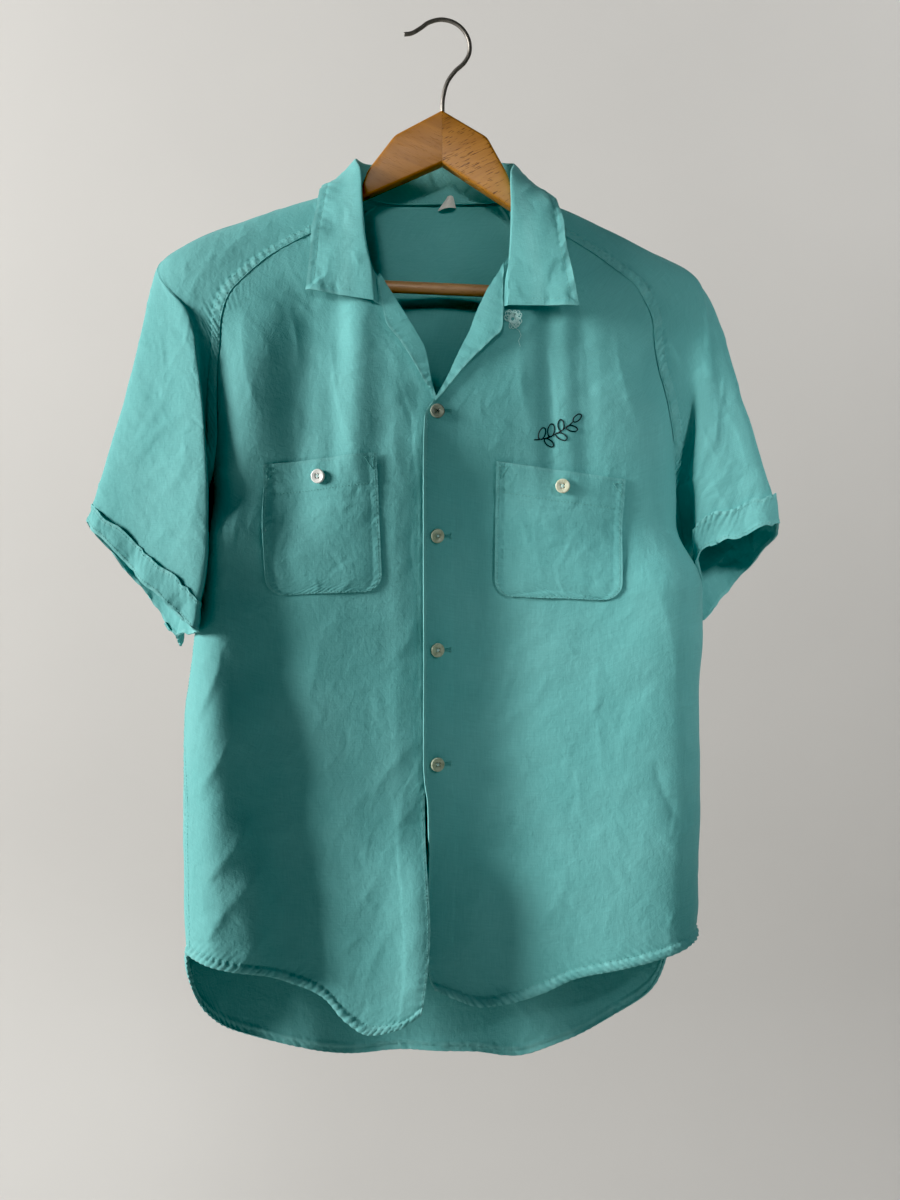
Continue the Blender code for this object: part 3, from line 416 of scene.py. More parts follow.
# The turned-out facings: a row for each level, fold side and outer edge, and how far the
# strip stands off its front.
LAPEL_LEFT = (
    # fold x, fold drop, edge x, edge drop, lift
    (-4.6, 319, -3.6, 320.5, 2.2),
    (-0.5, 312, 1.5, 315, 2.4),
    (5.5, 301, 8.5, 306, 2.8),
    (15, 280, 23, 289, 3.8),
    (22, 266, 38, 274, 5.0),
    (28, 250, 48.5, 262, 6.0),
    (37, 231, 49.5, 244, 4.2),
    (45.5, 217, 49.5, 226, 2.8),
    (49.8, 208, 50.8, 212, 2.2),
)
LAPEL_RIGHT = (
    (-7.0, 308, -8, 311, 2.2),
    (-8.5, 297, -13, 304, 2.3),
    (-12.5, 279, -19, 293, 2.6),
    (-25.5, 255, -32, 272, 3.0),
    (-36, 238, -43, 257, 3.0),
    (-42, 228, -46.5, 240, 2.6),
    (-48.5, 217, -49.6, 221, 2.2),
)

# Pocket outlines on the fronts: X and drop of the corners at the mouth and the bottom.
POCKETS = {
    RIGHT: {"inner": (-50, 361), "outer": (-140, 370), "inner_low": (-46, 470), "outer_low": (-138, 474)},
    LEFT:  {"inner": (44, 368), "outer": (144, 382), "inner_low": (43, 474), "outer_low": (139, 478)},
}
POCKET_EDGE_LIFT = {RIGHT: 3.0, LEFT: 2.9}
POCKET_BELLY = 1.2
POCKET_CORNER = 14.0
POCKET_BEND = 8 / 12
print("collar rows:", len(COLLAR), "and lapel rows:", len(LAPEL_RIGHT), len(LAPEL_LEFT))

# %% [markdown]
# A curve through a table must not overshoot its rows, or the cloth would bulge between them.
# These helpers take whole numpy grids at once, because a piece has tens of thousands of points.

# %% Smooth curves


def smooth(at, levels, values):
    """A curve through a table's column that never overshoots its rows."""
    x = np.asarray(levels, dtype=float)
    y = np.asarray(values, dtype=float)
    step = np.diff(x)
    slope = np.diff(y) / step
    tangent = np.zeros_like(y)
    before = slope[:-1]
    after = slope[1:]
    same_way = before * after > 0
    total = np.where(same_way, before + after, 1.0)
    tangent[1:-1] = np.where(same_way, 2.0 * before * after / total, 0.0)
    tangent[0] = slope[0]
    tangent[-1] = slope[-1]
    at = np.clip(np.asarray(at, dtype=float), x[0], x[-1])
    cell = np.clip(np.searchsorted(x, at, side="right") - 1, 0, len(step) - 1)
    width = step[cell]
    t = (at - x[cell]) / width
    return (y[cell] * (2 * t**3 - 3 * t**2 + 1) + tangent[cell] * width * (t**3 - 2 * t**2 + t)
            + y[cell + 1] * (3 * t**2 - 2 * t**3) + tangent[cell + 1] * width * (t**3 - t**2))


def ease(value):
    """0 below 0, 1 above 1, smooth between."""
    t = np.clip(value, 0.0, 1.0)
    return t * t * (3.0 - 2.0 * t)


print("smooth between 0 and 1:", np.round(ease(np.array((0.25, 0.5, 0.75))), 2))

# %% [markdown]
# A point of the cloth is found on its ring from an angle, lifted by the hanging folds there,
# and moved straight out from the ring by any lift of its own.

# %% Points on the rings


def body_column(name, drop):
    return smooth(drop, BODY["drop"], BODY[name])


def half_width(side, drop):
    return body_column("half_right" if side == RIGHT else "half_left", drop)


def turn_at(side, x, drop):
    """Degrees round the ring from the centre front at which its front half passes X."""
    q = np.clip(side * np.asarray(x, dtype=float) / half_width(side, drop), -0.998, 0.998)
    rest = (1.0 - np.abs(q) ** RING_SQUARENESS) ** (1.0 / RING_SQUARENESS)
    return np.degrees(np.arctan2(q, rest))


def fold_rise(face, x, drop):
    """How far the hanging folds lift a face at X and a drop."""
    total = np.zeros_like(np.asarray(x, dtype=float) + np.asarray(drop, dtype=float))
    for where, x_top, drop_top, x_bottom, drop_bottom, half, rise in FOLDS:
        if where != face:
            continue
        along = np.clip((drop - drop_top) / (drop_bottom - drop_top), -0.3, 1.3)
        middle = x_top + (x_bottom - x_top) * along
        fade = ease((drop - drop_top) / FOLD_FADE + 1.0) * ease((drop_bottom - drop) / FOLD_FADE + 1.0)
        total = total + rise * fade * np.exp(-((x - middle) / half) ** 2)
    return total


def cloth_point(side, turn, drop, lift=0.0):
    """A point of the body's cloth, with its folds, moved out by lift."""
    half = half_width(side, drop)
    front = body_column("front", drop)
    back = body_column("back", drop)
    widest = body_column("widest", drop)
    sine = np.sin(np.radians(turn))
    cosine = np.cos(np.radians(turn))
    reach = (np.abs(sine) ** RING_SQUARENESS + np.abs(cosine) ** RING_SQUARENESS) ** (-1.0 / RING_SQUARENESS)
    depth = np.where(cosine > 0, front + widest, back - widest)
    x = side * half * reach * sine
    y = widest - depth * reach * cosine
    out_x = side * np.sign(sine) * np.abs(reach * sine) ** (RING_SQUARENESS - 1.0) / half
    out_y = -np.sign(cosine) * np.abs(reach * cosine) ** (RING_SQUARENESS - 1.0) / depth
    length = np.hypot(out_x, out_y)
    frontness = ease(0.5 + 1.2 * cosine)
    rise = frontness * fold_rise("front", x, drop) + (1.0 - frontness) * fold_rise("back", x, drop)
    out = (rise + lift) / length
    return np.stack([x + out_x * out, y + out_y * out, -drop + 0.0 * x], axis=-1)


print("the chest is", round(float(half_width(RIGHT, 330.0) + half_width(LEFT, 330.0))), "mm across")

# %% [markdown]
# The fronts and the back are charts of the rings: "across" runs from 0 at the opening to 1 at
# the seam, and "down" from 0 at the neck to 1 at the hem.

# %% Form of the fronts and back
# Below this drop the fronts are unbuttoned, and over this reach their corners swing apart.
PARTED_DROP = 650.0
PARTED_REACH = 60.0


def opening_x(side, drop):
    table = OPENING_RIGHT if side == RIGHT else OPENING_LEFT
    return smooth(drop, table["drop"], table["x"])


def seam_turn(panel, side, drop):
    column = panel + ("_right" if side == RIGHT else "_left")
    return smooth(drop, SEAMS["drop"], SEAMS[column])


def front_lift(side, x, drop):
    """The lap at the buttons, and the two hem corners that swing apart below them."""
    below = ease((drop - PARTED_DROP) / PARTED_REACH)
    if side == RIGHT:
        tucked = 4.2 * ease((x + 38.0) / 22.0) * (1.0 - below) * ease((drop - 296.0) / 26.0)
        swing = 10.0 * below * np.exp(-(((x + 12.0) / 40.0) ** 2))
        return swing - tucked
    swing = -7.0 * below * np.exp(-((x / 34.0) ** 2))
    return swing + 0.6 * ease((8.0 - x) / 20.0) * (1.0 - below)


def front_at(side, across, drop, lift=0.0):
    """A point of a front: across is 0 at the opening and 1 at the raglan or side seam."""
    start = turn_at(side, opening_x(side, drop), drop)
    seam = seam_turn("front", side, drop)
    behind = np.maximum(seam - FRONT_CORNER, 0.0)
    turn = start + (seam - behind - start) * across + behind * across**5
    flat = cloth_point(side, turn, drop)
    return cloth_point(side, turn, drop, lift + front_lift(side, flat[..., 0], drop))


def raglan_drop(down, seam_drops):
    """Drop of a panel's point above the armpit: down runs from 0 at the neck to 1 there."""
    stations = np.clip(down, 0.0, 1.0) * (len(seam_drops) - 1)
    return np.interp(stations, range(len(seam_drops)), seam_drops)


def panel_drop(down, hem, seam_drops):
    """Drop of a panel's point: down is 0 at the neck, 1 at the hem."""
    row = down * (RAGLAN_ROWS + BODY_ROWS)
    above = raglan_drop(row / RAGLAN_ROWS, seam_drops)
    below = seam_drops[-1] + (hem - seam_drops[-1]) * (row - RAGLAN_ROWS) / BODY_ROWS
    return np.where(row <= RAGLAN_ROWS, above, below)


def front_place(side):
    def place(across, down):
        hem = smooth(across, FRONT_HEM["across"], FRONT_HEM["right" if side == RIGHT else "left"])
        return front_at(side, across, panel_drop(down, hem, RAGLAN_FRONT))
    return place


def front_over(side, x, drop, lift):
    """The point over a front at X and a drop, moved out by lift."""
    turn = turn_at(side, x, drop)
    return cloth_point(side, turn, drop, lift + front_lift(side, x, drop))


def back_place(across, down):
    hem = smooth(across, BACK_HEM["across"], BACK_HEM["drop"])
    drop = panel_drop(down, hem, RAGLAN_BACK)
    right_turn = seam_turn("back", RIGHT, drop)
    left_turn = seam_turn("back", LEFT, drop)
    share = right_turn - 180.0 + (360.0 - left_turn - right_turn) * across
    on_right = cloth_point(RIGHT, 180.0 + np.minimum(share, 0.0), drop)
    on_left = cloth_point(LEFT, 180.0 - np.maximum(share, 0.0), drop)
    return np.where((share < 0.0)[..., None], on_right, on_left)


print("the back hem's middle:", np.round(back_place(np.array(0.5), np.array(1.0)), 1), "mm")

# %% [markdown]
# Sleeves, collar and hook are splines through control points. A spline is a weighted sum of
# its points, so the weights are worked out once and serve a line, a net or a closed ring.

# %% Spline


def spline_weights(at, count, ring=False):
    """Catmull-Rom weights of count control points for each value of at (0 to 1).

    In a ring the last point repeats the first, and the curve runs on round through both.
    """
    place = np.clip(at, 0.0, 1.0) * (count - 1)
    cell = np.clip(place.astype(int), 0, count - 2).reshape(-1)
    t = place.reshape(-1) - cell
    weights = np.zeros((cell.size, count))
    rows = np.arange(cell.size)
    basis = (
        (-1, -0.5 * t + t**2 - 0.5 * t**3),
        (0, 1.0 - 2.5 * t**2 + 1.5 * t**3),
        (1, 0.5 * t + 2.0 * t**2 - 1.5 * t**3),
        (2, -0.5 * t**2 + 0.5 * t**3),
    )
    for shift, value in basis:
        index = cell + shift
        inside = (index >= 0) & (index < count)
        np.add.at(weights, (rows[inside], index[inside]), value[inside])
        past_ends = ((index < 0, 0, 1, count - 2), (index >= count, count - 1, count - 2, 1))
        for outside, end, inner, round_to in past_ends:
            if ring:
                np.add.at(weights, (rows[outside], round_to), value[outside])
            else:
                np.add.at(weights, (rows[outside], end), 2.0 * value[outside])
                np.add.at(weights, (rows[outside], inner), -value[outside])
    return weights.reshape(at.shape + (count,))


print("weights a third along four points:", np.round(spline_weights(np.array(0.3), 4), 2))

# %% [markdown]
# A sleeve is a net of control points, a row for each section, with a smooth spline through
# them both ways. Its edges are then drawn exactly onto the raglan seams.

# %% Form of the sleeves and cuffs


def seam_point(panel, side, drop):
    drop = np.asarray(drop, dtype=float)
    return cloth_point(side, seam_turn(panel, side, drop), drop)


def shoulder_section(side, front_drop, back_drop, ridge_drop):
    """Control points of a section that lies on the body's ring, from seam to seam."""
    points = []
    halves = (("front", front_drop, (0.0, 0.25, 0.5, 0.75, 1.0)), ("back", back_drop, (0.5, 0.0)))
    for panel, seam_drop, shares in halves:
        seam = float(seam_turn(panel, side, seam_drop))
        for share in shares:
            drop = ridge_drop + (seam_drop - ridge_drop) * (1.0 - share) ** 1.4
            points.append(cloth_point(side, np.array(seam + (90.0 - seam) * share), np.array(drop)))
    return points


def table_point(row, name):
    """The point that a row of a table holds under a name."""
    return np.array((row[name + "_x"], row[name + "_y"], -row[name + "_drop"]), dtype=float)


def sleeve_net(side):
    """Control points of a sleeve: [section][front seam, tuck, fold, front, ridge, back, back seam]."""
    net = [shoulder_section(side, *drops) for drops in zip(RAGLAN_FRONT, RAGLAN_BACK, SHOULDERS[side])]
    seam_drops = iter(RAGLAN_FRONT[len(net):])
    for values in SLEEVES[side]:
        row = dict(zip(SLEEVE_COLUMNS, values))
        fold, ridge, back = (table_point(row, name) for name in ("fold", "ridge", "back"))
        if row["under_drop"]:
            start = end = table_point(row, "under")
        else:
            seam_drop = next(seam_drops)
            start = seam_point("front", side, seam_drop)
            end = seam_point("back", side, seam_drop)
        tuck = fold + TUCK_SHARE * (start - fold) + row["tuck"] * np.array((0.7 * side, 0.7, 0.0))
        front = 0.5 * (fold + ridge) + np.array((0.0, -SLEEVE_BULGE[side], 0.0))
        net.append((start, tuck, fold, front, ridge, back, end))
    return np.array(net)


def sleeve_point(side, across, section):
    """A point of a sleeve: across runs from the front seam over the ridge to the back seam."""
    net = sleeve_net(side)
    sections, columns = net.shape[:2]
    armpit = len(RAGLAN_FRONT) - 1
    closed = ease(section - armpit)[..., None]
    by_section = spline_weights(section / (sections - 1), sections)

    def at(share):
        by_column = ((1.0 - closed) * spline_weights(share, columns)
                     + closed * spline_weights(share, columns, ring=True))
        return np.einsum("...i,...j,ijk->...k", by_section, by_column, net)

    point = at(across)
    start = at(np.zeros_like(across))
    end = at(np.ones_like(across))
    sewn = (section <= armpit)[..., None]
    halves = (("front", start, RAGLAN_FRONT, 1.0 - 6.0 * across),
              ("back", end, RAGLAN_BACK, 6.0 * across - 5.0))
    for panel, edge, drops, near in halves:
        drop = np.interp(section, range(armpit + 1), drops)
        seam = np.where(sewn, seam_point(panel, side, drop), 0.5 * (start + end))
        point = point + (seam - edge) * ease(near)[..., None]
    return point


def sleeve_place(side):
    armpit = len(RAGLAN_FRONT) - 1

    def place(across, down):
        row = down * (RAGLAN_ROWS + SLEEVE_ROWS)
        above = row / RAGLAN_ROWS * armpit
        below = armpit + (CUFF_SECTION - armpit) * (row - RAGLAN_ROWS) / SLEEVE_ROWS
        return sleeve_point(side, across, np.where(row <= RAGLAN_ROWS, above, below))
    return place


def cuff_place(side):
    def place(across, down):
        section = CUFF_SECTION + (EDGE_SECTION - CUFF_SECTION) * down
        return sleeve_point(side, across, section)
    return place


print("a sleeve's net, sections and points:", sleeve_net(RIGHT).shape[:2])

# %% [markdown]
# The collar is a net too, from the seam up the stand, over the roll and down the fall. The
# lapels and pockets lie a few millimetres over the front that carries them.

# %% Form of the collar, lapels and pockets
# Where the collar is folded double, its two layers stand at least this far apart by the roll.
LAYERS_APART = 4.6
LAPEL_FOLD_LIFT = 2.1


def collar_net():
    net = []
    for row in COLLAR:
        line = dict(zip(COLLAR_COLUMNS, row))
        seam, roll, edge = (table_point(line, name) for name in ("seam", "roll", "edge"))
        stand = roll + 0.3 * (seam - roll)
        fall = roll + 0.3 * (edge - roll)
        apart = fall - stand
        spread = np.linalg.norm(apart)
        doubled = np.dot(seam - roll, edge - roll) > 0
        if doubled and spread < LAYERS_APART:
            apart = apart / spread * (LAYERS_APART - spread) / 2.0
            stand = stand - apart
            fall = fall + apart
        net.append((seam, stand, roll, fall, 0.5 * (fall + edge), edge))
    return np.array(net)


def collar_place(across, down):
    net = collar_net()
    by_row = spline_weights(across, net.shape[0])
    by_column = spline_weights(down, net.shape[1])
    return np.einsum("...i,...j,ijk->...k", by_row, by_column, net)


def lapel_place(side):
    rows = LAPEL_RIGHT if side == RIGHT else LAPEL_LEFT
    stations = np.arange(len(rows), dtype=float)

    def place(across, down):
        at = down * (len(rows) - 1)
        fold_x, fold_drop, edge_x, edge_drop, lift = (smooth(at, stations, column) for column in zip(*rows))
        x = fold_x + (edge_x - fold_x) * across
        drop = fold_drop + (edge_drop - fold_drop) * across
        bulge = (lift - LAPEL_FOLD_LIFT) * np.sin(across * math.pi / 2.0)
        return front_over(side, x, drop, LAPEL_FOLD_LIFT + bulge)
    return place


def pocket_lift(side, across, down):
    """How far a pocket stands off its front: least along the three sewn edges."""
    return POCKET_EDGE_LIFT[side] + POCKET_BELLY * np.sin(math.pi * across) * np.cos(math.pi / 2.0 * down)


def pocket_place(side):
    corners = POCKETS[side]

    def place(across, down):
        height = corners["inner_low"][1] - corners["inner"][1]
        straight = 1.0 - POCKET_CORNER / height
        bend = np.clip((down - POCKET_BEND) / (1.0 - POCKET_BEND), 0.0, 1.0) * math.pi / 2.0
        level = straight * np.minimum(down / POCKET_BEND, 1.0) + (1.0 - straight) * np.sin(bend)
        inset = POCKET_CORNER * (1.0 - np.cos(bend))
        inner, outer = ([a + (b - a) * level for a, b in zip(corners[end], corners[end + "_low"])]
                        for end in ("inner", "outer"))
        width = np.abs(outer[0] - inner[0])
        share = inset / width + across * (1.0 - 2.0 * inset / width)
        x = inner[0] + (outer[0] - inner[0]) * share
        drop = inner[1] + (outer[1] - inner[1]) * share
        return front_over(side, x, drop, pocket_lift(side, across, down))
    return place


print("the collar's net, rows and points:", collar_net().shape[:2])

# %% [markdown]
# Random detail must come out the same on every run. `drift` is a smooth wandering line and
# `crumple` a smooth wandering surface, both through seeded random values on a coarse lattice.

# %% Seeded wander


def drift(at, pitch, seed):
    """A smooth random line between -1 and 1 that changes about once every pitch."""
    values = np.random.default_rng(seed).uniform(-1.0, 1.0, 4096)
    place = np.asarray(at, dtype=float) / pitch + 512.0
    cell = np.floor(place).astype(int) % 4095
    share = ease(place - np.floor(place))
    return values[cell] * (1.0 - share) + values[cell + 1] * share


def crumple(u, v, pitch, seed):
    """A smooth random surface between -1 and 1 over two directions in millimetres."""
    values = np.random.default_rng(seed).uniform(-1.0, 1.0, (256, 256))
    x = u / pitch + 64.0
    y = v / pitch + 64.0
    column = np.floor(x).astype(int) % 255
    row = np.floor(y).astype(int) % 255
    right = ease(x - np.floor(x))
    below = ease(y - np.floor(y))
    top = values[row, column] * (1 - right) + values[row, column + 1] * right
    bottom = values[row + 1, column] * (1 - right) + values[row + 1, column + 1] * right
    return top * (1 - below) + bottom * below


print("wander at 0, 5 and 10 mm:", np.round(drift(np.array((0.0, 5.0, 10.0)), 7.0, 1), 2))

# %% [markdown]
# A crease has a crisp crest and fades out at both ends. It is steeper on one side, and it
# bows a little. Main creases are placed one by one from short tables, uneven as worn cloth is,
# and a scatter of small ones, seeded, gives washed rayon its crumpled look.

# %% Creases


def crease(u, v, start, end, half, rise, bow=0.0):
    """Lift of one crease between two points, in millimetres."""
    along = np.array((end[0] - start[0], end[1] - start[1]), dtype=float)
    reach = np.hypot(*along)
    way = along / reach
    share = ((u - start[0]) * way[0] + (v - start[1]) * way[1]) / reach
    inside = np.clip(share, 0.0, 1.0)
    offset = (v - start[1]) * way[0] - (u - start[0]) * way[1] - bow * 4.0 * inside * (1.0 - inside)
    taper = np.clip(4.0 * inside * (1.0 - inside), 0.0, 1.0) ** 0.8
    steep = np.where(offset > 0.0, 0.7, 1.3) * half
    return rise * taper * np.exp(-np.sqrt((offset / steep) ** 2 + 0.02))


def creases(u, v, table):
    """The lift of a table's rows: start, end, half width, rise and bow."""
    total = np.zeros(np.shape(u))
    for start_u, start_v, end_u, end_v, half, rise, bow in table:
        total += crease(u, v, (start_u, start_v), (end_u, end_v), half, rise, bow)
    return total


def strew(u, v, seed, count, lengths, rises, slant=0.0, spread=90.0, half=2.6):
    """Scattered small creases, turned about slant degrees from the cloth's length."""
    dice = np.random.default_rng(seed)
    total = np.zeros(np.shape(u))
    low_u, high_u = float(u.min()), float(u.max())
    low_v, high_v = float(v.min()), float(v.max())
    for _ in range(count):
        middle = (dice.uniform(low_u, high_u), dice.uniform(low_v, high_v))
        reach = dice.uniform(*lengths) / 2.0
        turn = math.radians(slant + dice.uniform(-spread, spread))
        way = (math.sin(turn) * reach, math.cos(turn) * reach)
        rise = dice.uniform(*rises) * dice.choice((1.0, 1.0, -1.0))
        near = (np.abs(u - middle[0]) < reach + 12.0) & (np.abs(v - middle[1]) < reach + 12.0)
        width = half * dice.uniform(0.6, 1.5)
        bow = dice.uniform(-0.16, 0.16) * reach
        if near.any():
            total[near] += crease(u[near], v[near], (middle[0] - way[0], middle[1] - way[1]),
                                  (middle[0] + way[0], middle[1] + way[1]), width, rise, bow)
    return total


print("a crease of 2 mm, at its crest:", round(float(crease(5.0, 0.0, (0, 0), (10, 0), 4, 2.0)), 2), "mm")

# %% [markdown]
# A row of stitches draws the cloth into small gathers that die out a few millimetres away. A
# doubled band stands a step higher, and a hem that is rolled and sewn twists like a rope.

# %% Gathers, bands and hems


def pucker(near, along, pitch, reach, rise, seed, slant=0.35):
    """Little gathers beside a seam: near is the distance from it, along the run beside it."""
    place = along + slant * near
    phase = place / pitch + 0.55 * drift(place, 2.3 * pitch, seed)
    wave = np.abs(np.sin(math.pi * phase)) ** 1.5 - 0.5
    strength = 0.65 + 0.45 * drift(along, 3.7 * pitch, seed + 1)
    return rise * strength * wave * np.exp(-near / reach)


def step_band(near, width, rise):
    """A doubled band along an edge: level to its stitch line, which bites in a little."""
    return rise * ease((width + 1.2 - near) / 2.4) - 0.55 * rise * np.exp(-((near - width) / 1.1) ** 2)


def rope(near, along, width, pitch, rise, seed, slant=0.8):
    """The twisted look of a narrow rolled hem."""
    place = along + slant * near
    phase = place / pitch + 0.4 * drift(place, 2.0 * pitch, seed)
    twist = np.sin(2.0 * math.pi * phase)
    return rise * twist * ease((width - near) / 2.0 + 0.5) * (0.7 + 0.3 * drift(along, 4 * pitch, seed + 3))


def rolled_hem(low, run, seed, width=6.5, pitch=5.8):
    """A narrow hem rolled into a cord: round, twisted, and gathered at its stitch line."""
    cord = 1.1 * ease(low / 1.6 + 0.3) * ease((width + 0.6 - low) / 1.8)
    ditch = -0.7 * np.exp(-((low - width - 0.8) / 1.2) ** 2)
    gather = pucker(np.clip(low - width, 0.0, None), run, pitch, 5.5, 1.5, seed, slant=0.8)
    gather = gather * ease((low - width + 2.0) / 2.0)
    return cord + ditch + gather + rope(low, run, width, pitch, 1.05, seed + 1)


def sewn(lift, near, level):
    """Bring a piece's lift to one level right at the seam, so that the seam stays shut."""
    share = ease(near / 2.4)
    return share * lift + (1.0 - share) * level


steps = np.array((0.0, 3.0, 6.5, 10.0))
print("a rolled hem's lift at", steps, "mm:", np.round(rolled_hem(steps, 0.0 * steps, 1), 2))

# %% [markdown]
# A cloth piece is a flat grid whose points are moved to their places, because a woven panel
# really is a flat grid of threads. Its UV map is the run along the threads in metres, so a
# weave follows the cloth. Solidify gives the thin wall, and thickens it where the cloth is
# folded double. The edges are marked sharp, so that the rim catches light as a cut edge does.

# %% Cloth maker
laid = {}


def outward(points, sign):
    """Unit normals of a grid of points."""
    normal = sign * np.cross(np.gradient(points, axis=1), np.gradient(points, axis=0))
    return normal / np.maximum(np.linalg.norm(normal, axis=-1, keepdims=True), 1e-9)


def runs(points, axis):
    """Distance run along each line of a grid, from its first point."""
    steps = np.linalg.norm(np.diff(points, axis=axis), axis=-1)
    first = np.zeros_like(np.take(steps, [0], axis=axis))
    return np.cumsum(np.concatenate((first, steps), axis=axis), axis=axis)


def lay_cloth(name, place, across, down, sign, relief, wall=0.7, thick=1.0):
    """Lay a piece: place gives its form, relief(chart) its lift in millimetres."""
    rows = len(down) - 1
    columns = len(across) - 1
    down_grid, across_grid = np.meshgrid(down, across, indexing="ij")
    form = place(across_grid, down_grid)
    chart = {"x": form[..., 0], "drop": -form[..., 2], "run": runs(form, 1), "fall": runs(form, 0)}
    first, last = (int(np.argmin(np.abs(across - end))) for end in (0.0, 1.0))
    chart["run"] = np.clip(chart["run"], chart["run"][:, first:first + 1], chart["run"][:, last:last + 1])
    chart["run"] = chart["run"] - chart["run"][:, :1]
    chart["to_end"] = chart["run"][:, -1:] - chart["run"]
    chart["to_bottom"] = chart["fall"][-1:, :] - chart["fall"]
    lift, wear, fold = relief(chart)
    points = form + outward(form, sign) * lift[..., None]
    mesh = bmesh.new()
    bmesh.ops.create_grid(mesh, x_segments=columns, y_segments=rows, size=0.5)
    if sign < 0:
        bmesh.ops.reverse_faces(mesh, faces=mesh.faces)
    for edge in mesh.edges:
        edge.smooth = not edge.is_boundary
    piece = link_mesh(mesh, name)
    data = piece.data
    flat = np.empty(len(data.vertices) * 3)
    data.vertices.foreach_get("co", flat)
    column = np.rint((flat[0::3] + 0.5) * columns).astype(int)
    row = np.rint((flat[1::3] + 0.5) * rows).astype(int)
    data.vertices.foreach_set("co", (points[row, column] * MM).ravel())
    corner = np.empty(len(data.loops), dtype=int)
    data.loops.foreach_get("vertex_index", corner)
    threads = np.stack((chart["run"], chart["fall"]), axis=-1)[row, column] * MM
    data.uv_layers.new(name="threads").data.foreach_set("uv", threads[corner].ravel())
    worn = data.attributes.new("wear", "FLOAT", "POINT")
    worn.data.foreach_set("value", np.clip(wear, 0.0, 1.0)[row, column].ravel())
    group = piece.vertex_groups.new(name="doubled")
    weights = np.clip(fold, 0.0, 1.0)[row, column]
    for level in range(11):
        chosen = np.flatnonzero(np.rint(weights * 10.0) == level)
        if len(chosen):
            group.add(chosen.tolist(), level / 10.0, "REPLACE")
    solidify = piece.modifiers.new("wall", "SOLIDIFY")
    solidify.thickness = (wall + thick) * MM
    solidify.offset = 0.0
    solidify.vertex_group = "doubled"
    solidify.thickness_vertex_group = wall / (wall + thick)
    chart["outer"] = points + outward(points, sign) * (0.5 * (wall + thick * fold))[..., None]
    chart["normal"] = outward(points, sign)
    laid[name] = chart
    cells = np.cross(np.diff(form, axis=1)[:-1], np.diff(form, axis=0)[:, :-1])
    chart["area"] = np.linalg.norm(cells, axis=-1).sum() * MM * MM
    chart["most"] = (float(chart["run"][:, -1].max()) * MM, float(chart["fall"][-1].max()) * MM)
    print(name, columns, "x", rows, "cells, area", round(chart["area"], 4), "m2, at most",
          np.round(chart["most"], 3), "m")
    return piece


def stops(*legs):
    """Places from 0 to 1 in legs: (end, steps), ..."""
    places = [0.0]
    for end, steps in legs:
        start = places[-1]
        places += [start + (end - start) * (index + 1) / steps for index in range(steps)]
    return np.array(places)


# %% [markdown]
# The back panel is seen whole from behind, and from the front through the neck and below the
# front hems. It is smoother than the fronts, with a few long creases, and its edge is a
# narrow hem rolled and stitched so tightly that it twists like rope.

# %% Back panel
BACK_CREASES = (
    # start x, start drop, end x, end drop, half width, rise, bow
    (-150, 300, -40, 352, 5, 1.1, 6), (-60, 260, 60, 300, 6, 1.0, -8), (40, 330, 150, 300, 5, 1.2, 5),
    (-120, 420, -60, 560, 5, 1.0, 7), (-20, 470, 30, 640, 6, 0.9, -9), (70, 430, 120, 570, 5, 1.1, 6),
    (-165, 600, -120, 740, 5, 1.0, 5), (95, 640, 160, 760, 5, 1.1, -6), (-70, 700, -10, 800, 5, 0.9, 4),
)


def back_relief(chart):
    x, drop = chart["x"], chart["drop"]
    run, to_end, low = chart["run"], chart["to_end"], chart["to_bottom"]
    lift = creases(x, drop, BACK_CREASES)
    lift += strew(run, chart["fall"], 11, 170, (18.0, 60.0), (0.15, 0.6), half=2.6)
    lift += 0.7 * crumple(run, chart["fall"], 46.0, 12) + 0.25 * crumple(run, chart["fall"], 17.0, 13)
    for near, seed in ((run, 14), (to_end, 15)):
        lift += pucker(near, drop, 7.5, 9.0, 0.9, seed)
    lift += rolled_hem(low, run, 16)
    lift = sewn(lift, np.minimum(run, to_end), -0.5)
    hem = ease((9.0 - low) / 2.0)
    wear = 0.8 * hem * (0.5 + 0.5 * drift(run, 6.0, 18)) + 0.5 * np.exp(-np.minimum(run, to_end) / 3.0)
    return lift, wear, hem


lay_cloth("back_cloth", back_place, np.r_[-0.006, stops((1.0, 216)), 1.006],
          stops((0.5, 46), (0.955, 52), (1.0, 24)), 1, back_relief)

# %% [markdown]
# The two fronts carry most of what the eye sees. Each has a doubled facing along its opening,
# a rolled hem, puckers along the raglan and side seams, and its own main creases.

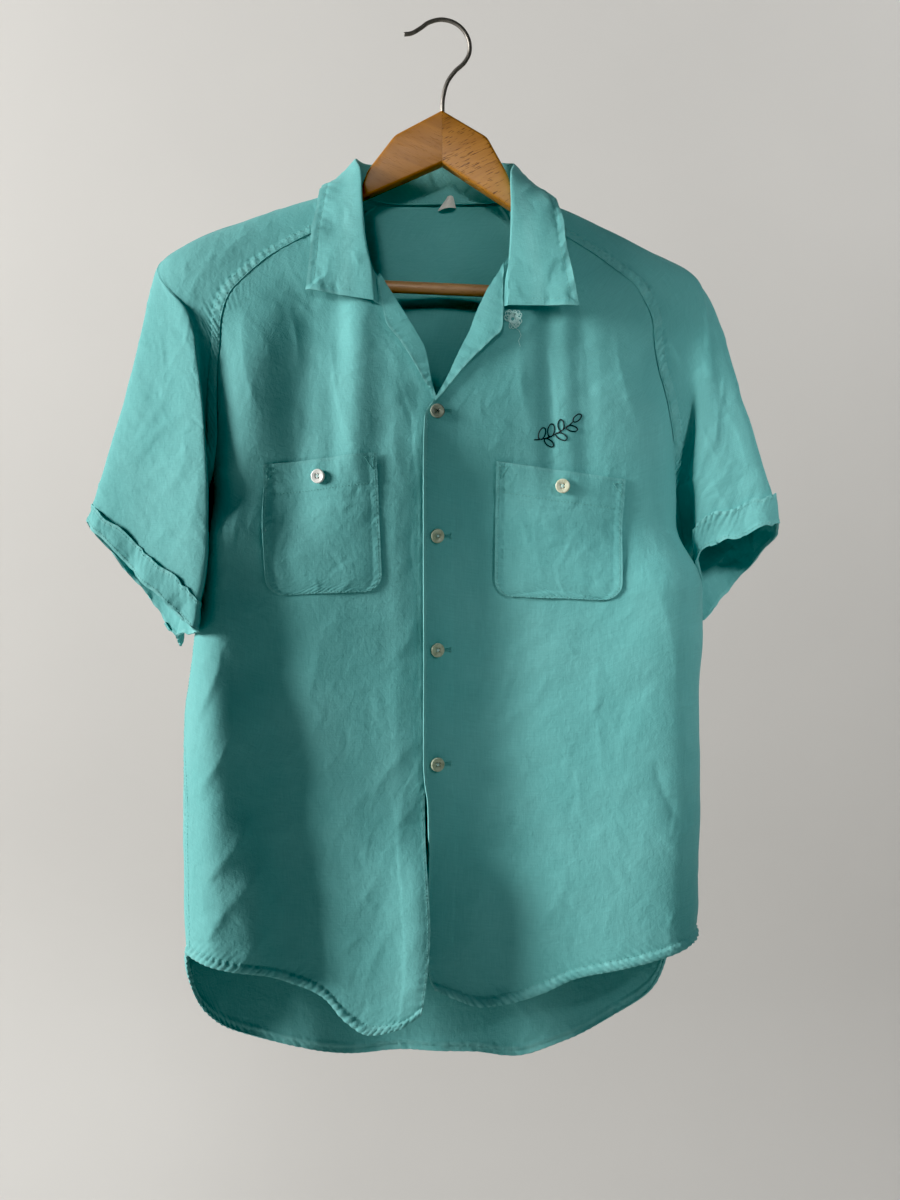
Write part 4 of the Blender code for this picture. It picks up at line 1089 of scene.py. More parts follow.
# %% Front creases
FRONT_CREASES = {
    RIGHT: (
        (-193, 572, -173, 516, 5, 2.2, 4), (-195, 635, -162, 578, 5, 2.4, 3),
        (-187, 702, -149, 644, 6, 2.8, 4), (-185, 750, -146, 692, 5, 2.4, -3),
        (-179, 781, -141, 738, 5, 1.8, 3),
        (-72, 465, -45, 414, 4, 0.7, 3), (-36, 524, -19, 485, 4, 0.8, 3),
        (-54, 635, -15, 589, 6, 1.3, -5), (-48, 674, -16, 627, 5, 1.1, 4),
        (-81, 738, -42, 674, 6, 1.0, 6), (-64, 801, -24, 718, 6, 1.2, -6),
        (-111, 556, -97, 509, 5, 0.7, 4), (-87, 264, -70, 351, 6, 1.5, 4),
        (-123, 240, -114, 297, 6, 1.3, -3), (-38, 335, -23, 398, 6, 0.8, 4),
        (-158, 240, -141, 335, 5, 1.0, 6), (-151, 374, -162, 445, 6, 0.9, 4),
    ),
    LEFT: (
        (5, 610, 63, 509, 4, 1.0, 12), (9, 597, 94, 531, 4, 0.9, 10),
        (7, 588, 53, 485, 4, 0.9, 9), (23, 627, 106, 589, 5, 0.9, -8),
        (11, 556, 47, 445, 5, 0.8, 6), (6, 524, 28, 477, 4, 0.9, 4),
        (17, 682, 47, 635, 5, 1.1, 5), (23, 738, 63, 674, 5, 1.1, -6),
        (11, 773, 39, 730, 5, 1.0, 4), (63, 757, 102, 698, 5, 0.8, 6),
        (85, 264, 91, 382, 5, 1.4, -4), (113, 272, 118, 358, 5, 1.2, 3),
        (63, 272, 72, 343, 5, 0.9, 4), (140, 264, 158, 343, 6, 1.1, 5),
        (169, 603, 195, 659, 7, -2.0, 5), (158, 651, 197, 690, 6, 1.2, -5),
        (126, 516, 135, 635, 7, 0.9, 5), (47, 272, 79, 254, 5, 1.6, 3),
        (11, 374, 23, 430, 5, 0.9, 3), (158, 445, 186, 548, 6, 0.9, -6),
    ),
}
# On the right front the lower side swells out and the waist falls in.
SWELLS = (
    # x, half width, rise, top drop, top reach, foot drop, foot reach
    (-150.0, 16.0, 8.0, 640.0, 80.0, 800.0, 40.0),
    (-160.0, 20.0, -7.0, 370.0, 30.0, 520.0, 70.0),
)
print("creases of the fronts:", [len(FRONT_CREASES[side]) for side in (RIGHT, LEFT)])

# %% [markdown]
# Cloth lies flat behind a pocket, so a mask of the pocket's shape takes the creases away
# there. A little of the raglan edge runs on under the sleeve's band, so no gap shows.

# %% Fronts
POCKET_DEPTH = 105.0


def behind_pocket(side, x, drop):
    """1 where a pocket covers its front, so that the cloth below it lies flat."""
    corners = POCKETS[side]
    low = np.clip((drop - corners["inner"][1]) / POCKET_DEPTH, 0.0, 1.0)
    inner, outer = (side * (corners[edge][0] + (corners[edge + "_low"][0] - corners[edge][0]) * low)
                    for edge in ("inner", "outer"))
    share = np.clip((side * x - inner) / (outer - inner), 0.0, 1.0)
    levels = []
    for end in ("", "_low"):
        near, far = corners["inner" + end][1], corners["outer" + end][1]
        levels.append(near + (far - near) * share)
    beside = np.minimum(side * x - inner, outer - side * x)
    inside = np.minimum(beside, np.minimum(drop - levels[0], levels[1] - drop))
    return ease((inside + 1.0) / 4.0)


def front_relief(side):
    def relief(chart):
        x, drop, run = chart["x"], chart["drop"], chart["run"]
        fall, to_end, low = chart["fall"], chart["to_end"], chart["to_bottom"]
        seed = 30 if side == RIGHT else 60
        lift = creases(x, drop, FRONT_CREASES[side])
        lift += strew(run, fall, seed + 1, 150, (14.0, 46.0), (0.15, 0.6), slant=-28.0 * side,
                      spread=38.0, half=2.2)
        lift += strew(run, fall, seed + 2, 80, (10.0, 34.0), (0.15, 0.5), spread=90.0, half=2.0)
        lift += 0.7 * crumple(run, fall, 40.0, seed + 3) + 0.22 * crumple(run, fall, 15.0, seed + 4)
        worn_front = ease((drop - 300.0) / 20.0)
        lift += step_band(run, 26.0, 0.35) * worn_front
        lift += pucker(run, fall, 7.5, 10.0, 1.4, seed + 5, slant=0.2) * worn_front
        lift += pucker(to_end, fall, 6.2, 8.5, 1.5, seed + 6, slant=-0.9)
        lift *= 1.0 - 0.9 * behind_pocket(side, x, drop)
        lift += rolled_hem(low, run, seed + 7)
        if side == RIGHT:
            for at, half, rise, top, top_reach, foot, foot_reach in SWELLS:
                fade = ease((drop - top) / top_reach), ease((foot - drop) / foot_reach)
                lift += rise * np.exp(-((x - at) / half) ** 2) * fade[0] * fade[1]
        if side == LEFT:
            lift += 1.1 * ease((5.0 - run) / 5.0) * worn_front
            corner = ease((drop - 400.0) / 90.0) * ease((760.0 - drop) / 40.0)
            inner = np.where(to_end > 15.0, 24.0, 8.0)
            lift += 5.0 * corner * np.exp(-((to_end - 15.0) / inner) ** 2)
        lift = sewn(lift, to_end, -0.5)
        hem = ease((9.0 - low) / 2.0)
        edge = ease((3.0 - run) / 2.0) * worn_front
        wear = (0.5 * hem * (0.5 + 0.5 * drift(run, 5.0, seed + 9)) + 0.7 * edge
                + 0.25 * np.exp(-to_end / 3.0))
        return lift, wear, np.maximum(hem, edge)
    return relief


for side, name in SIDES:
    lay_cloth(f"front_{name}_cloth", front_place(side), np.r_[stops((1.0, 164)), 1.007],
              stops((0.5, 98), (0.955, 92), (1.0, 24)), -side, front_relief(side))

# %% [markdown]
# Each sleeve carries the raglan seam's double-needle band along its front and back edges.
# The band is the doubled seam allowance, so it stands proud, and its stitches gather the
# cloth on both sides of it.

# %% Sleeves and cuffs
SLEEVE_CREASES = {
    RIGHT: (
        (-247, 351, -209, 281, 5, 1.1, 5), (-253, 374, -201, 327, 5, 1.2, -4),
        (-230, 398, -193, 360, 5, 1.0, 4), (-230, 303, -201, 264, 4, 0.8, 3),
        (-201, 430, -190, 374, 5, 1.2, 4), (-182, 200, -209, 264, 7, 1.1, 6),
        (-151, 178, -181, 210, 5, 0.9, 4), (-261, 387, -230, 382, 4, 0.9, 3),
        (-230, 436, -200, 414, 5, 1.0, -3),
    ),
    LEFT: (
        (184, 385, 210, 376, 4, 2.2, 3), (180, 351, 205, 374, 5, 1.2, 4),
        (214, 374, 238, 414, 5, 1.1, 4), (221, 319, 243, 374, 5, 1.0, -5),
        (210, 264, 219, 303, 5, 0.8, 3), (126, 186, 158, 210, 5, 0.9, 4),
        (176, 264, 197, 297, 5, 1.0, -4), (195, 414, 210, 445, 4, 1.2, 3),
    ),
}
BAND_WIDTH = 8.5
CUFF_GIRTH = 430.0


def sleeve_relief(side):
    def relief(chart):
        x, drop, run, fall, to_end = (chart[key] for key in ("x", "drop", "run", "fall", "to_end"))
        seed = 90 if side == RIGHT else 120
        ahead = ease((run.max() * 0.52 - run) / 40.0)
        lift = creases(x, drop, SLEEVE_CREASES[side]) * ahead
        lift += creases(x + 6.0 * side, drop + 9.0, SLEEVE_CREASES[side]) * (1.0 - ahead) * 0.8
        lift += strew(run, fall, seed + 1, 190, (12.0, 42.0), (0.25, 0.85), slant=35.0 * side,
                      spread=50.0, half=2.1)
        lift += 0.7 * crumple(run, fall, 36.0, seed + 2) + 0.25 * crumple(run, fall, 14.0, seed + 3)
        for near, shift in ((run, 4), (to_end, 6)):
            lift += step_band(near, BAND_WIDTH, 0.6)
            lift += rope(near, fall, BAND_WIDTH + 1.0, 6.6, 0.85, seed + shift, slant=0.5)
            lift += pucker(np.abs(near - BAND_WIDTH), fall, 7.2, 5.5, 1.3, seed + shift + 1, slant=0.9)
        lift += pucker(chart["to_bottom"], run, 11.0, 6.0, 0.5, seed + 8)
        lift = sewn(lift, np.minimum(run, to_end), 0.4)
        band = ease((BAND_WIDTH - np.minimum(run, to_end)) / 1.5)
        wear = 0.6 * band * (0.5 + 0.5 * drift(fall, 4.0, seed + 9))
        return lift, wear, 0.5 * band
    return relief


def cuff_relief(side):
    def relief(chart):
        run, fall, low = chart["run"], chart["fall"], chart["to_bottom"]
        seed = 150 if side == RIGHT else 160
        lift = 0.6 * crumple(run, fall, 24.0, seed)
        lift += strew(run, fall, seed + 1, 40, (8.0, 22.0), (0.2, 0.6), half=2.0)
        lift += 1.8 + pucker(fall, run, 6.4, 8.0, 1.15, seed + 2, slant=0.7)
        lift += 4.2 * ease((28.0 - low) / 22.0) * drift(run, 21.0, seed + 6)
        lift += pucker(low, run, 12.0, 9.0, 0.9, seed + 3, slant=0.3)
        edge = ease((4.0 - np.minimum(fall, low)) / 2.0)
        wear = 0.8 * edge * (0.5 + 0.5 * drift(run, 5.0, seed + 4))
        return lift, wear, 0.6 + 0.4 * edge
    return relief


def wavy_cuff(side):
    """The cuff's form with both its edges wavering, the upper one over the sleeve's end."""
    laid_out = cuff_place(side)

    def place(across, down):
        at = CUFF_GIRTH * across
        top = -0.10 + 0.07 * drift(at, 15.0, 171) + 0.05 * drift(at, 6.0, 172)
        bottom = 0.10 * drift(at, 24.0, 173) + 0.05 * drift(at, 9.0, 174)
        ends = ease(12.0 * np.minimum(across, 1.0 - across))
        return laid_out(across, down + ends * (top * (1.0 - down) + bottom * down))
    return place


for side, name in SIDES:
    lay_cloth(f"sleeve_{name}_cloth", sleeve_place(side), stops((1.0, 144)),
              stops((0.75, 190), (1.0, 32)), -side, sleeve_relief(side))
    lay_cloth(f"cuff_{name}_cloth", wavy_cuff(side), stops((1.0, 250)), stops((1.0, 24)), -side,
              cuff_relief(side), wall=0.9, thick=0.9)

# %% [markdown]
# A camp collar is two layers turned inside out and topstitched a little way in from the edge,
# so its rim is firm and slightly wavy while its middle stays soft.

# %% Collar
COLLAR_CREASES = (
    # start run, start fall, end run, end fall, half width, rise, bow
    (18, 60, 60, 48, 4, 0.9, 3), (34, 82, 52, 40, 4, 1.0, 4), (70, 70, 96, 42, 4, 0.8, 3),
    (120, 64, 150, 40, 5, 0.8, 4), (260, 50, 320, 62, 5, 0.7, 4), (420, 60, 470, 44, 5, 0.9, -4),
)
# Behind the hanger's peak the roll stands higher: by PEAK_RISE, over PEAK_HALF to each side,
# from ROLL_FOOT down over ROLL_REACH up.
PEAK_RISE = 9.5
PEAK_HALF = 48.0
ROLL_FOOT = 143.0
ROLL_REACH = 27.0


def collar_relief(chart):
    run, fall, low, to_end = (chart[key] for key in ("run", "fall", "to_bottom", "to_end"))
    tips = np.minimum(run, to_end)
    rim = np.minimum(low, tips)
    lift = creases(run, fall, COLLAR_CREASES)
    lift += strew(run, fall, 201, 100, (10.0, 34.0), (0.25, 0.8), half=2.4)
    lift += 0.5 * crumple(run, fall, 26.0, 202)
    turned = ease((fall - 26.0) / 12.0)
    along = np.where(low < tips, run, fall)
    gathers = pucker(np.abs(rim - 5.0), along, 9.0, 7.0, 1.4, 203, slant=0.4)
    waver = 2.3 * ease((22.0 - rim) / 18.0) * drift(along, 17.0, 204)
    lift += turned * (gathers + waver - 0.5 * np.exp(-((rim - 5.5) / 1.2) ** 2))
    edge = ease((2.5 - rim) / 1.5) * turned
    wear = 0.5 * edge + 0.3 * np.exp(-((fall - 28.0) / 6.0) ** 2)
    return lift, wear, 0.4 + 0.3 * edge


def tall_collar(across, down):
    """The collar's form, with its roll standing a little higher behind the hanger's peak."""
    form = collar_place(across, down)
    behind = np.exp(-(form[..., 0] / PEAK_HALF) ** 4) * ease((form[..., 1] - 10.0) / 15.0)
    form[..., 2] += PEAK_RISE * behind * ease((form[..., 2] + ROLL_FOOT) / ROLL_REACH)
    return form


lay_cloth("collar_cloth", tall_collar, stops((1.0, 280)), stops((0.4, 14), (1.0, 32)), 1, collar_relief,
          wall=0.7, thick=0.8)

# %% [markdown]
# Each front's facing turns out beside the neck opening and shows as a narrow strip. Its fold
# is soft and its free edge firm, and both are a little gathered.

# %% Lapels


def lapel_relief(side):
    def relief(chart):
        run, fall, to_end = chart["run"], chart["fall"], chart["to_end"]
        seed = 220 if side == RIGHT else 230
        lift = 0.5 * crumple(run, fall, 16.0, seed)
        lift += pucker(to_end, fall, 9.0, 6.0, 0.9, seed + 1, slant=0.3)
        lift += pucker(run, fall, 11.0, 5.0, 0.5, seed + 2, slant=0.2)
        edge = ease((2.5 - to_end) / 1.5)
        return lift, 0.6 * edge, 0.5 + 0.5 * edge
    return relief


for side, name in SIDES:
    lay_cloth(f"lapel_{name}_cloth", lapel_place(side), stops((1.0, 16)), stops((1.0, 110)), side,
              lapel_relief(side), wall=0.6, thick=0.5)

# %% [markdown]
# The patch pockets have a hemmed mouth and three edges that are turned under and stitched
# down, so a raised rim runs round each and small gathers fan out from its stitches.

# %% Pockets


def pocket_relief(side):
    def relief(chart):
        run, fall, low, to_end = (chart[key] for key in ("run", "fall", "to_bottom", "to_end"))
        seed = 250 if side == RIGHT else 260
        sides = np.minimum(np.minimum(run, to_end), low)
        lift = strew(run, fall, seed, 34, (10.0, 40.0), (0.2, 0.7), slant=10.0, spread=60.0, half=2.2)
        lift += 0.5 * crumple(run, fall, 24.0, seed + 1)
        lift += crease(run, fall, (8.0, 34.0), (64.0, 30.0), 3.0, -0.7, 2.0)
        lift += pucker(np.abs(sides - 4.5), run - fall, 5.6, 6.0, 1.4, seed + 2, slant=0.7)
        lift += step_band(sides, 6.0, 0.5) + step_band(fall, 24.0, 0.45)
        lift -= 0.9 + 0.8 * ease((16.0 - sides) / 14.0)
        edge = ease((2.5 - np.minimum(sides, fall)) / 1.5)
        return lift, 0.35 * edge, 0.2 + 0.3 * edge
    return relief


for side, name in SIDES:
    lay_cloth(f"pocket_{name}_cloth", pocket_place(side), stops((1.0, 66)), stops((1.0, 76)), -side,
              pocket_relief(side), wall=0.6, thick=0.5)

# %% [markdown]
# Finishes share a few effects, so each effect is a node group with its own inputs. Groups hand
# out only masks, heights and colours. These helpers make a group, and the few nodes that most
# finishes use: a noise, a bump and a mix of two colours.

# %% Helpers for materials


def group_of(name, inputs, outputs):
    """An empty shader group: inputs are (name, type, default), outputs (name, type)."""
    tree = bpy.data.node_groups.new(name, "ShaderNodeTree")
    for label, kind, value in inputs:
        socket = tree.interface.new_socket(label, in_out="INPUT", socket_type="NodeSocket" + kind)
        if value is not None:
            socket.default_value = value
    for label, kind in outputs:
        tree.interface.new_socket(label, in_out="OUTPUT", socket_type="NodeSocket" + kind)
    return tree, tree.nodes.new("NodeGroupInput").outputs, tree.nodes.new("NodeGroupOutput").inputs


def sums(tree, operation, first, second=None):
    values = [(0, first)] + ([(1, second)] if second is not None else [])
    return node(tree, "Math", values, operation=operation).outputs[0]


def noise(tree, place, scale, detail, roughness=0.5, distortion=0.0, **settings):
    """The value of a noise texture at a place."""
    inputs = (("Vector", place), ("Scale", scale), ("Detail", detail), ("Roughness", roughness),
              ("Distortion", distortion))
    return node(tree, "TexNoise", inputs, **settings).outputs["Fac"]


def relief_of(tree, height, strength, distance, below=None):
    """The normal of a bump that a height gives, over the normal of another bump below it."""
    inputs = [("Height", height), ("Strength", strength), ("Distance", distance)]
    if below is not None:
        inputs.append(("Normal", below))
    return node(tree, "Bump", inputs).outputs[0]


def blend_colour(tree, share, first, second, how="MIX"):
    """A mix of two colours, each an output or three numbers, by a share."""
    first, second = (part + (1.0,) if isinstance(part, tuple) else part for part in (first, second))
    inputs = ((0, share), (6, first), (7, second))
    return node(tree, "Mix", inputs, data_type="RGBA", blend_type=how).outputs[2]


print("materials so far:", [material.name for material in bpy.data.materials])

# %% [markdown]
# `plain_weave` crosses two sets of threads with slubs in them, and `fading` washes the colour
# out where cloth is worn. They read only what they are handed, so they serve shirt and tape.

# %% Weave and fading
weave, given, made = group_of("plain_weave",
                              (("Threads", "Vector", None), ("Per Metre", "Float", 1700.0)),
                              (("Height", "Float"), ("Slub", "Float")))
scaled = node(weave, "VectorMath", ((0, given["Threads"]), ("Scale", given["Per Metre"])),
              operation="SCALE")
parts = node(weave, "SeparateXYZ", ((0, scaled.outputs[0]),))
warp = sums(weave, "SINE", sums(weave, "MULTIPLY", parts.outputs[0], math.pi))
weft = sums(weave, "SINE", sums(weave, "MULTIPLY", parts.outputs[1], math.pi))
crossing = sums(weave, "MULTIPLY", warp, weft)
slubs = []
for stretch in ((1500.0, 60.0, 1.0), (60.0, 1500.0, 1.0)):
    lay = node(weave, "Mapping", (("Vector", given["Threads"]), ("Scale", stretch)))
    slubs.append(noise(weave, lay.outputs[0], 1.0, 2.0))
slub = sums(weave, "ADD", slubs[0], slubs[1])
weave.links.new(sums(weave, "MULTIPLY", slub, 0.5), made["Slub"])
weave.links.new(sums(weave, "ADD", sums(weave, "MULTIPLY", crossing, 0.35), slub), made["Height"])

fading, given, made = group_of("fading",
                               (("Place", "Vector", None), ("Wear", "Float", 0.0)),
                               (("Faded", "Float"), ("Deep", "Float")))
broad = noise(fading, given["Place"], 9.0, 5.0, 0.6)
fine = noise(fading, given["Place"], 160.0, 4.0, 0.65)
rubbed = sums(fading, "MULTIPLY", given["Wear"], sums(fading, "ADD", fine, 0.35))
fading.links.new(sums(fading, "MINIMUM", rubbed, 1.0), made["Faded"])
patches = node(fading, "MapRange", ((0, broad), (1, 0.35), (2, 0.65)))
fading.links.new(patches.outputs[0], made["Deep"])
print("groups:", [group.name for group in bpy.data.node_groups])

# %% [markdown]
# The cloth is a plain-weave rayon in washed aqua. It is matt with a faint bloom at grazing
# angles, so it gets a little sheen. Its colour wanders a few per cent, grows paler on worn
# edges, and a bump from the weave and from tiny crinkles breaks up the light.

# %% Aqua cloth


def cloth_finish(name, deep, plain, pale):
    material, tree, shader = bare_finish(name, Roughness=0.78, Specular_IOR_Level=0.28, Sheen_Weight=0.18,
                                         Sheen_Roughness=0.45, Sheen_Tint=(0.75, 1.0, 0.97, 1.0))
    place = node(tree, "TexCoord").outputs["Object"]
    threads = node(tree, "UVMap", uv_map="threads").outputs[0]
    wear = node(tree, "Attribute", attribute_name="wear").outputs["Fac"]
    fabric = node(tree, "Group", (("Threads", threads),), node_tree=weave)
    worn = node(tree, "Group", (("Place", place), ("Wear", wear)), node_tree=fading)
    base = blend_colour(tree, worn.outputs["Deep"], deep, plain)
    base = blend_colour(tree, worn.outputs["Faded"], base, pale)
    streak = node(tree, "MapRange", ((0, fabric.outputs["Slub"]), (1, 0.3), (2, 0.7), (3, 0.90), (4, 1.07)))
    grey = node(tree, "CombineColor", [(channel, streak.outputs[0]) for channel in range(3)])
    base = blend_colour(tree, 1.0, base, grey.outputs[0], "MULTIPLY")
    tree.links.new(base, shader.inputs["Base Color"])
    crinkle = noise(tree, place, 210.0, 4.0, 0.6, 0.4)
    wrinkle = noise(tree, place, 42.0, 3.0, 0.5, 0.7, noise_type="RIDGED_MULTIFRACTAL")
    soft = relief_of(tree, crinkle, 0.55, 0.0011)
    creased = relief_of(tree, wrinkle, 0.80, 0.0014, soft)
    tree.links.new(relief_of(tree, fabric.outputs["Height"], 0.45, 0.00022, creased), shader.inputs["Normal"])
    return material


aqua = cloth_finish("aqua_rayon", (0.130, 0.405, 0.400), (0.155, 0.440, 0.435),
                    (0.21, 0.51, 0.50))

CLOTH_PIECES = ("back", "front_right", "front_left", "sleeve_right", "sleeve_left", "cuff_right", "cuff_left",
                "collar", "lapel_right", "lapel_left", "pocket_right", "pocket_left")
for name in CLOTH_PIECES:
    piece = bpy.data.objects[name + "_cloth"]
    piece.data.materials.append(aqua)
    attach(piece, "root")
    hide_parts(name)
print("cloth pieces:", len(CLOTH_PIECES))

# %% [markdown]
# A stitch is a short fat bead of thread that sinks into the cloth at both ends. One small
# icosphere, stretched and turned, stands for each, which keeps thousands of them light. A
# line of stitches is drawn at a set distance from an edge of a piece, on its outer face.

# %% Stitch maker


def edge_line(name, edge, inset, first=0.0, last=1.0):
    """Points and normals of a line on a piece, a distance inside one of its edges."""
    chart = laid[name]
    rows, columns = chart["run"].shape
    lengthwise = edge in ("start", "end")
    count = rows if lengthwise else columns
    kept = range(int(round(first * (count - 1))), int(round(last * (count - 1))) + 1)
    distance = chart[{"start": "run", "end": "to_end", "top": "fall", "bottom": "to_bottom"}[edge]]
    points = []
    normals = []
    for index in kept:
        line = distance[index] if lengthwise else distance[:, index]
        spots = np.arange(len(line))
        if line[0] > line[-1]:
            line, spots = line[::-1], spots[::-1]
        at = float(np.interp(inset, line, spots))
        low = min(int(at), len(line) - 2)
        share = at - low
        for source, target in ((chart["outer"], points), (chart["normal"], normals)):
            values = source[index] if lengthwise else source[:, index]
            target.append(values[low] * (1.0 - share) + values[low + 1] * share)
    return np.array(points), np.array(normals)


def stitched(mesh, points, normals, pitch=2.9, length=2.3, width=0.55, rise=0.05):
    """Add a bead for each stitch along a line of points."""
    run = runs(points, 0)

    def along(values, at):
        return np.array([np.interp(at, run, values[:, axis]) for axis in range(3)])

    for index in range(int(run[-1] // pitch)):
        at = (index + 0.5) * pitch
        middle = along(points, at)
        up = Vector(along(normals, at)).normalized()
        way = Vector(along(points, at + 0.5) - along(points, at - 0.5)).normalized()
        side = up.cross(way).normalized()
        up = way.cross(side)
        turn = Matrix((way, side, up)).transposed().to_4x4()
        size = Matrix.Diagonal((length / 2.0 * MM, width / 2.0 * MM, width / 2.0 * MM, 1.0))
        shift = Matrix.Translation((Vector(middle) + up * rise) * MM)
        bmesh.ops.create_icosphere(mesh, subdivisions=1, radius=1.0, matrix=shift @ turn @ size)


def finish_stitches(mesh, name, material):
    count = len(mesh.faces)
    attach(link_mesh(mesh, name, material), "root")
    print(name, "has", count // 20, "stitches")


print("charts to sew on:", len(laid))

# %% [markdown]
# Thread is twisted, so it catches the light on its rounded top; a noise mixes a paler colour into
# its own as painted highlight. The seams are sewn in aqua, the sprig and top button in near black,
# the buttons and the eyelet in a pale green.

# %% Threads


def thread_finish(name, colour, pale):
    """Twisted thread: a noise mixes in a paler colour as painted highlight, a little shiny."""
    material, tree, shader = bare_finish(name, Roughness=0.55)
    twist = noise(tree, node(tree, "TexCoord").outputs["Object"], 900.0, 2.0)
    # Painted highlight: the paler colour, mixed in by the noise, stands for light on the twists.
    tree.links.new(blend_colour(tree, twist, colour, pale), shader.inputs["Base Color"])
    tree.links.new(relief_of(tree, twist, 0.4, 0.0002), shader.inputs["Normal"])
    return material


aqua_thread = thread_finish("aqua_thread", (0.11, 0.36, 0.345), (0.20, 0.50, 0.48))
dark_thread = thread_finish("dark_thread", (0.006, 0.008, 0.010), (0.02, 0.025, 0.03))
pale_thread = thread_finish("pale_thread", (0.27, 0.58, 0.56), (0.68, 0.92, 0.89))
print("threads:", aqua_thread.name, dark_thread.name, pale_thread.name)

# %% [markdown]
# The raglan seams are stitched with a double needle on the sleeve side. The side seams are
# double too. Hems, cuffs, collar, pockets and the front edges have one line each.

# %% Seam stitches


def sew_edges(name, piece, lines, **look):
    """An object of stitches; each line is an edge, its inset, and where it starts and ends."""
    mesh = bmesh.new()
    for line in lines:
        stitched(mesh, *edge_line(piece, *line), **look)
    finish_stitches(mesh, name, aqua_thread)


for side, name in SIDES:
    sew_edges("raglan_stitches_" + name, f"sleeve_{name}_cloth",
              [(edge, inset, 0.02, 0.74) for edge in ("start", "end") for inset in (1.8, 7.2)])
    sew_edges("front_stitches_" + name, f"front_{name}_cloth",
              (("end", 1.6, 0.42, 0.985), ("end", 7.0, 0.42, 0.985), ("bottom", 7.6, 0.02, 0.98),
               ("start", 2.4, 0.22, 0.985)))
    sew_edges("cuff_stitches_" + name, f"cuff_{name}_cloth", (("top", 2.4), ("bottom", 2.4)))
    sew_edges("pocket_stitches_" + name, f"pocket_{name}_cloth",
              (("start", 2.2, 0.0, 0.97), ("end", 2.2, 0.0, 0.97), ("bottom", 2.2, 0.02, 0.98),
               ("top", 24.0, 0.04, 0.96)), pitch=2.6, length=2.1)
sew_edges("back_hem_stitches", "back_cloth", (("bottom", 7.6, 0.02, 0.98),))
sew_edges("collar_stitches", "collar_cloth",
          (("bottom", 5.5, 0.012, 0.988), ("start", 5.5, 0.55, 0.93), ("end", 5.5, 0.55, 0.93),
           ("top", 2.0, 0.3, 0.8)))

# %% [markdown]
# Embroidery, worked holes and loose threads are drawn point by point, so they need the cloth's
# own surface at an X and a drop. It is found from the nearest point of the grid and its slopes.

# %% Chest sprig


def on_cloth(name, x, drop, lift=0.25):
    """A point on a piece's outer face at an X and a drop, and the way the face looks there."""
    spots = laid[name]["outer"]
    far = (spots[1:-1, 1:-1, 0] - x) ** 2 + (spots[1:-1, 1:-1, 2] + drop) ** 2
    row, column = (int(place) + 1 for place in np.unravel_index(np.argmin(far), far.shape))
    here = spots[row, column]
    across = 0.5 * (spots[row, column + 1] - spots[row, column - 1])
    down = 0.5 * (spots[row + 1, column] - spots[row - 1, column])
    steps = np.array(((across[0], down[0]), (across[2], down[2])))
    share = np.clip(np.linalg.solve(steps, (x - here[0], -drop - here[2])), -1.5, 1.5)
    way = laid[name]["normal"][row, column]
    return here + share[0] * across + share[1] * down + lift * way, way


def sew_line(mesh, name, spots, **look):
    """Stitches along a line of (x, drop) spots, laid on the piece's own surface."""
    spots = np.array(spots, dtype=float)
    run = np.concatenate(([0.0], np.cumsum(np.hypot(*np.diff(spots, axis=0).T))))
    at = np.linspace(0.0, run[-1], max(int(run[-1] / 0.7), 3))
    found = [on_cloth(name, *(np.interp(step, run, spots[:, axis]) for axis in (0, 1))) for step in at]
    stitched(mesh, np.array([point for point, _ in found]), np.array([way for _, way in found]), **look)


def leaf(x, drop, turn, length):
    """A leaf's outline as (x, drop) spots: from its foot round its tip and back."""
    round_it = np.linspace(0.0, 2.0 * math.pi, 15)
    along = length * (1.0 - np.cos(round_it)) / 2.0
    beside = 0.26 * length * np.sin(round_it)
    cosine, sine = math.cos(math.radians(turn)), math.sin(math.radians(turn))
    return [(x + a * cosine - b * sine, drop - a * sine - b * cosine) for a, b in zip(along, beside)]


SPRIG_STEM = ((73.5, 351), (79, 350.5), (86, 348.5), (93, 345), (100, 340.5), (105, 336))
SPRIG_LEAVES = (
    # foot x, foot drop, turn, length
    (78, 350.6, 68, 10), (82, 350, -40, 9), (86.5, 348.3, 82, 10.5), (91, 346, -28, 9.5),
    (95, 343.8, 92, 9), (99, 341, -12, 9), (104.5, 336.4, 42, 8.5),
)
embroidery = bmesh.new()
chain = dict(pitch=1.25, length=2.1, width=1.15, rise=0.1)
sew_line(embroidery, "front_left_cloth", SPRIG_STEM, **chain)
for values in SPRIG_LEAVES:
    sew_line(embroidery, "front_left_cloth", leaf(*values), **chain)
finish_stitches(embroidery, "chest_sprig", dark_thread)

# %% [markdown]
# A buttonhole is worked as two rows of close stitches beside a slit, with a wider bar at each
# end. A small triangle of stitches holds each corner of the pocket mouths.

# %% Buttonholes and pocket tacks
FRONT_BUTTON_X = -2.4
bars = bmesh.new()
for drop in (328.8, 426.5, 517.0, 608.5):
    for across in np.arange(-8.0, 8.6, 0.55):
        x = FRONT_BUTTON_X + 2.2 + across
        reach = 2.6 if abs(across) > 7.4 else 1.5
        for near, far in ((-0.4, -reach), (0.4, reach)):
            sew_line(bars, "front_left_cloth", ((x, drop + near), (x, drop + far)),
                     pitch=0.9, length=1.5, width=0.5, rise=0.0)
finish_stitches(bars, "buttonholes", aqua_thread)

tacks = bmesh.new()
for side, name in SIDES:
    piece = f"pocket_{name}_cloth"
    rim = laid[piece]["outer"]
    for corner, along in ((rim[1, 1], rim[1, -2] - rim[1, 1]), (rim[1, -2], rim[1, 1] - rim[1, -2])):
        way = along / np.linalg.norm(along)
        x, drop = corner[0] + 1.4 * way[0], -corner[2] + 1.6
        foot = (x, drop + 10.0)
        inner = (x + 7.0 * way[0], drop)
        for line in (((x, drop), inner), (inner, foot), (foot, (x, drop))):
            sew_line(tacks, piece, line, pitch=1.5, length=1.7, width=0.6, rise=0.0)
finish_stitches(tacks, "pocket_tacks", aqua_thread)

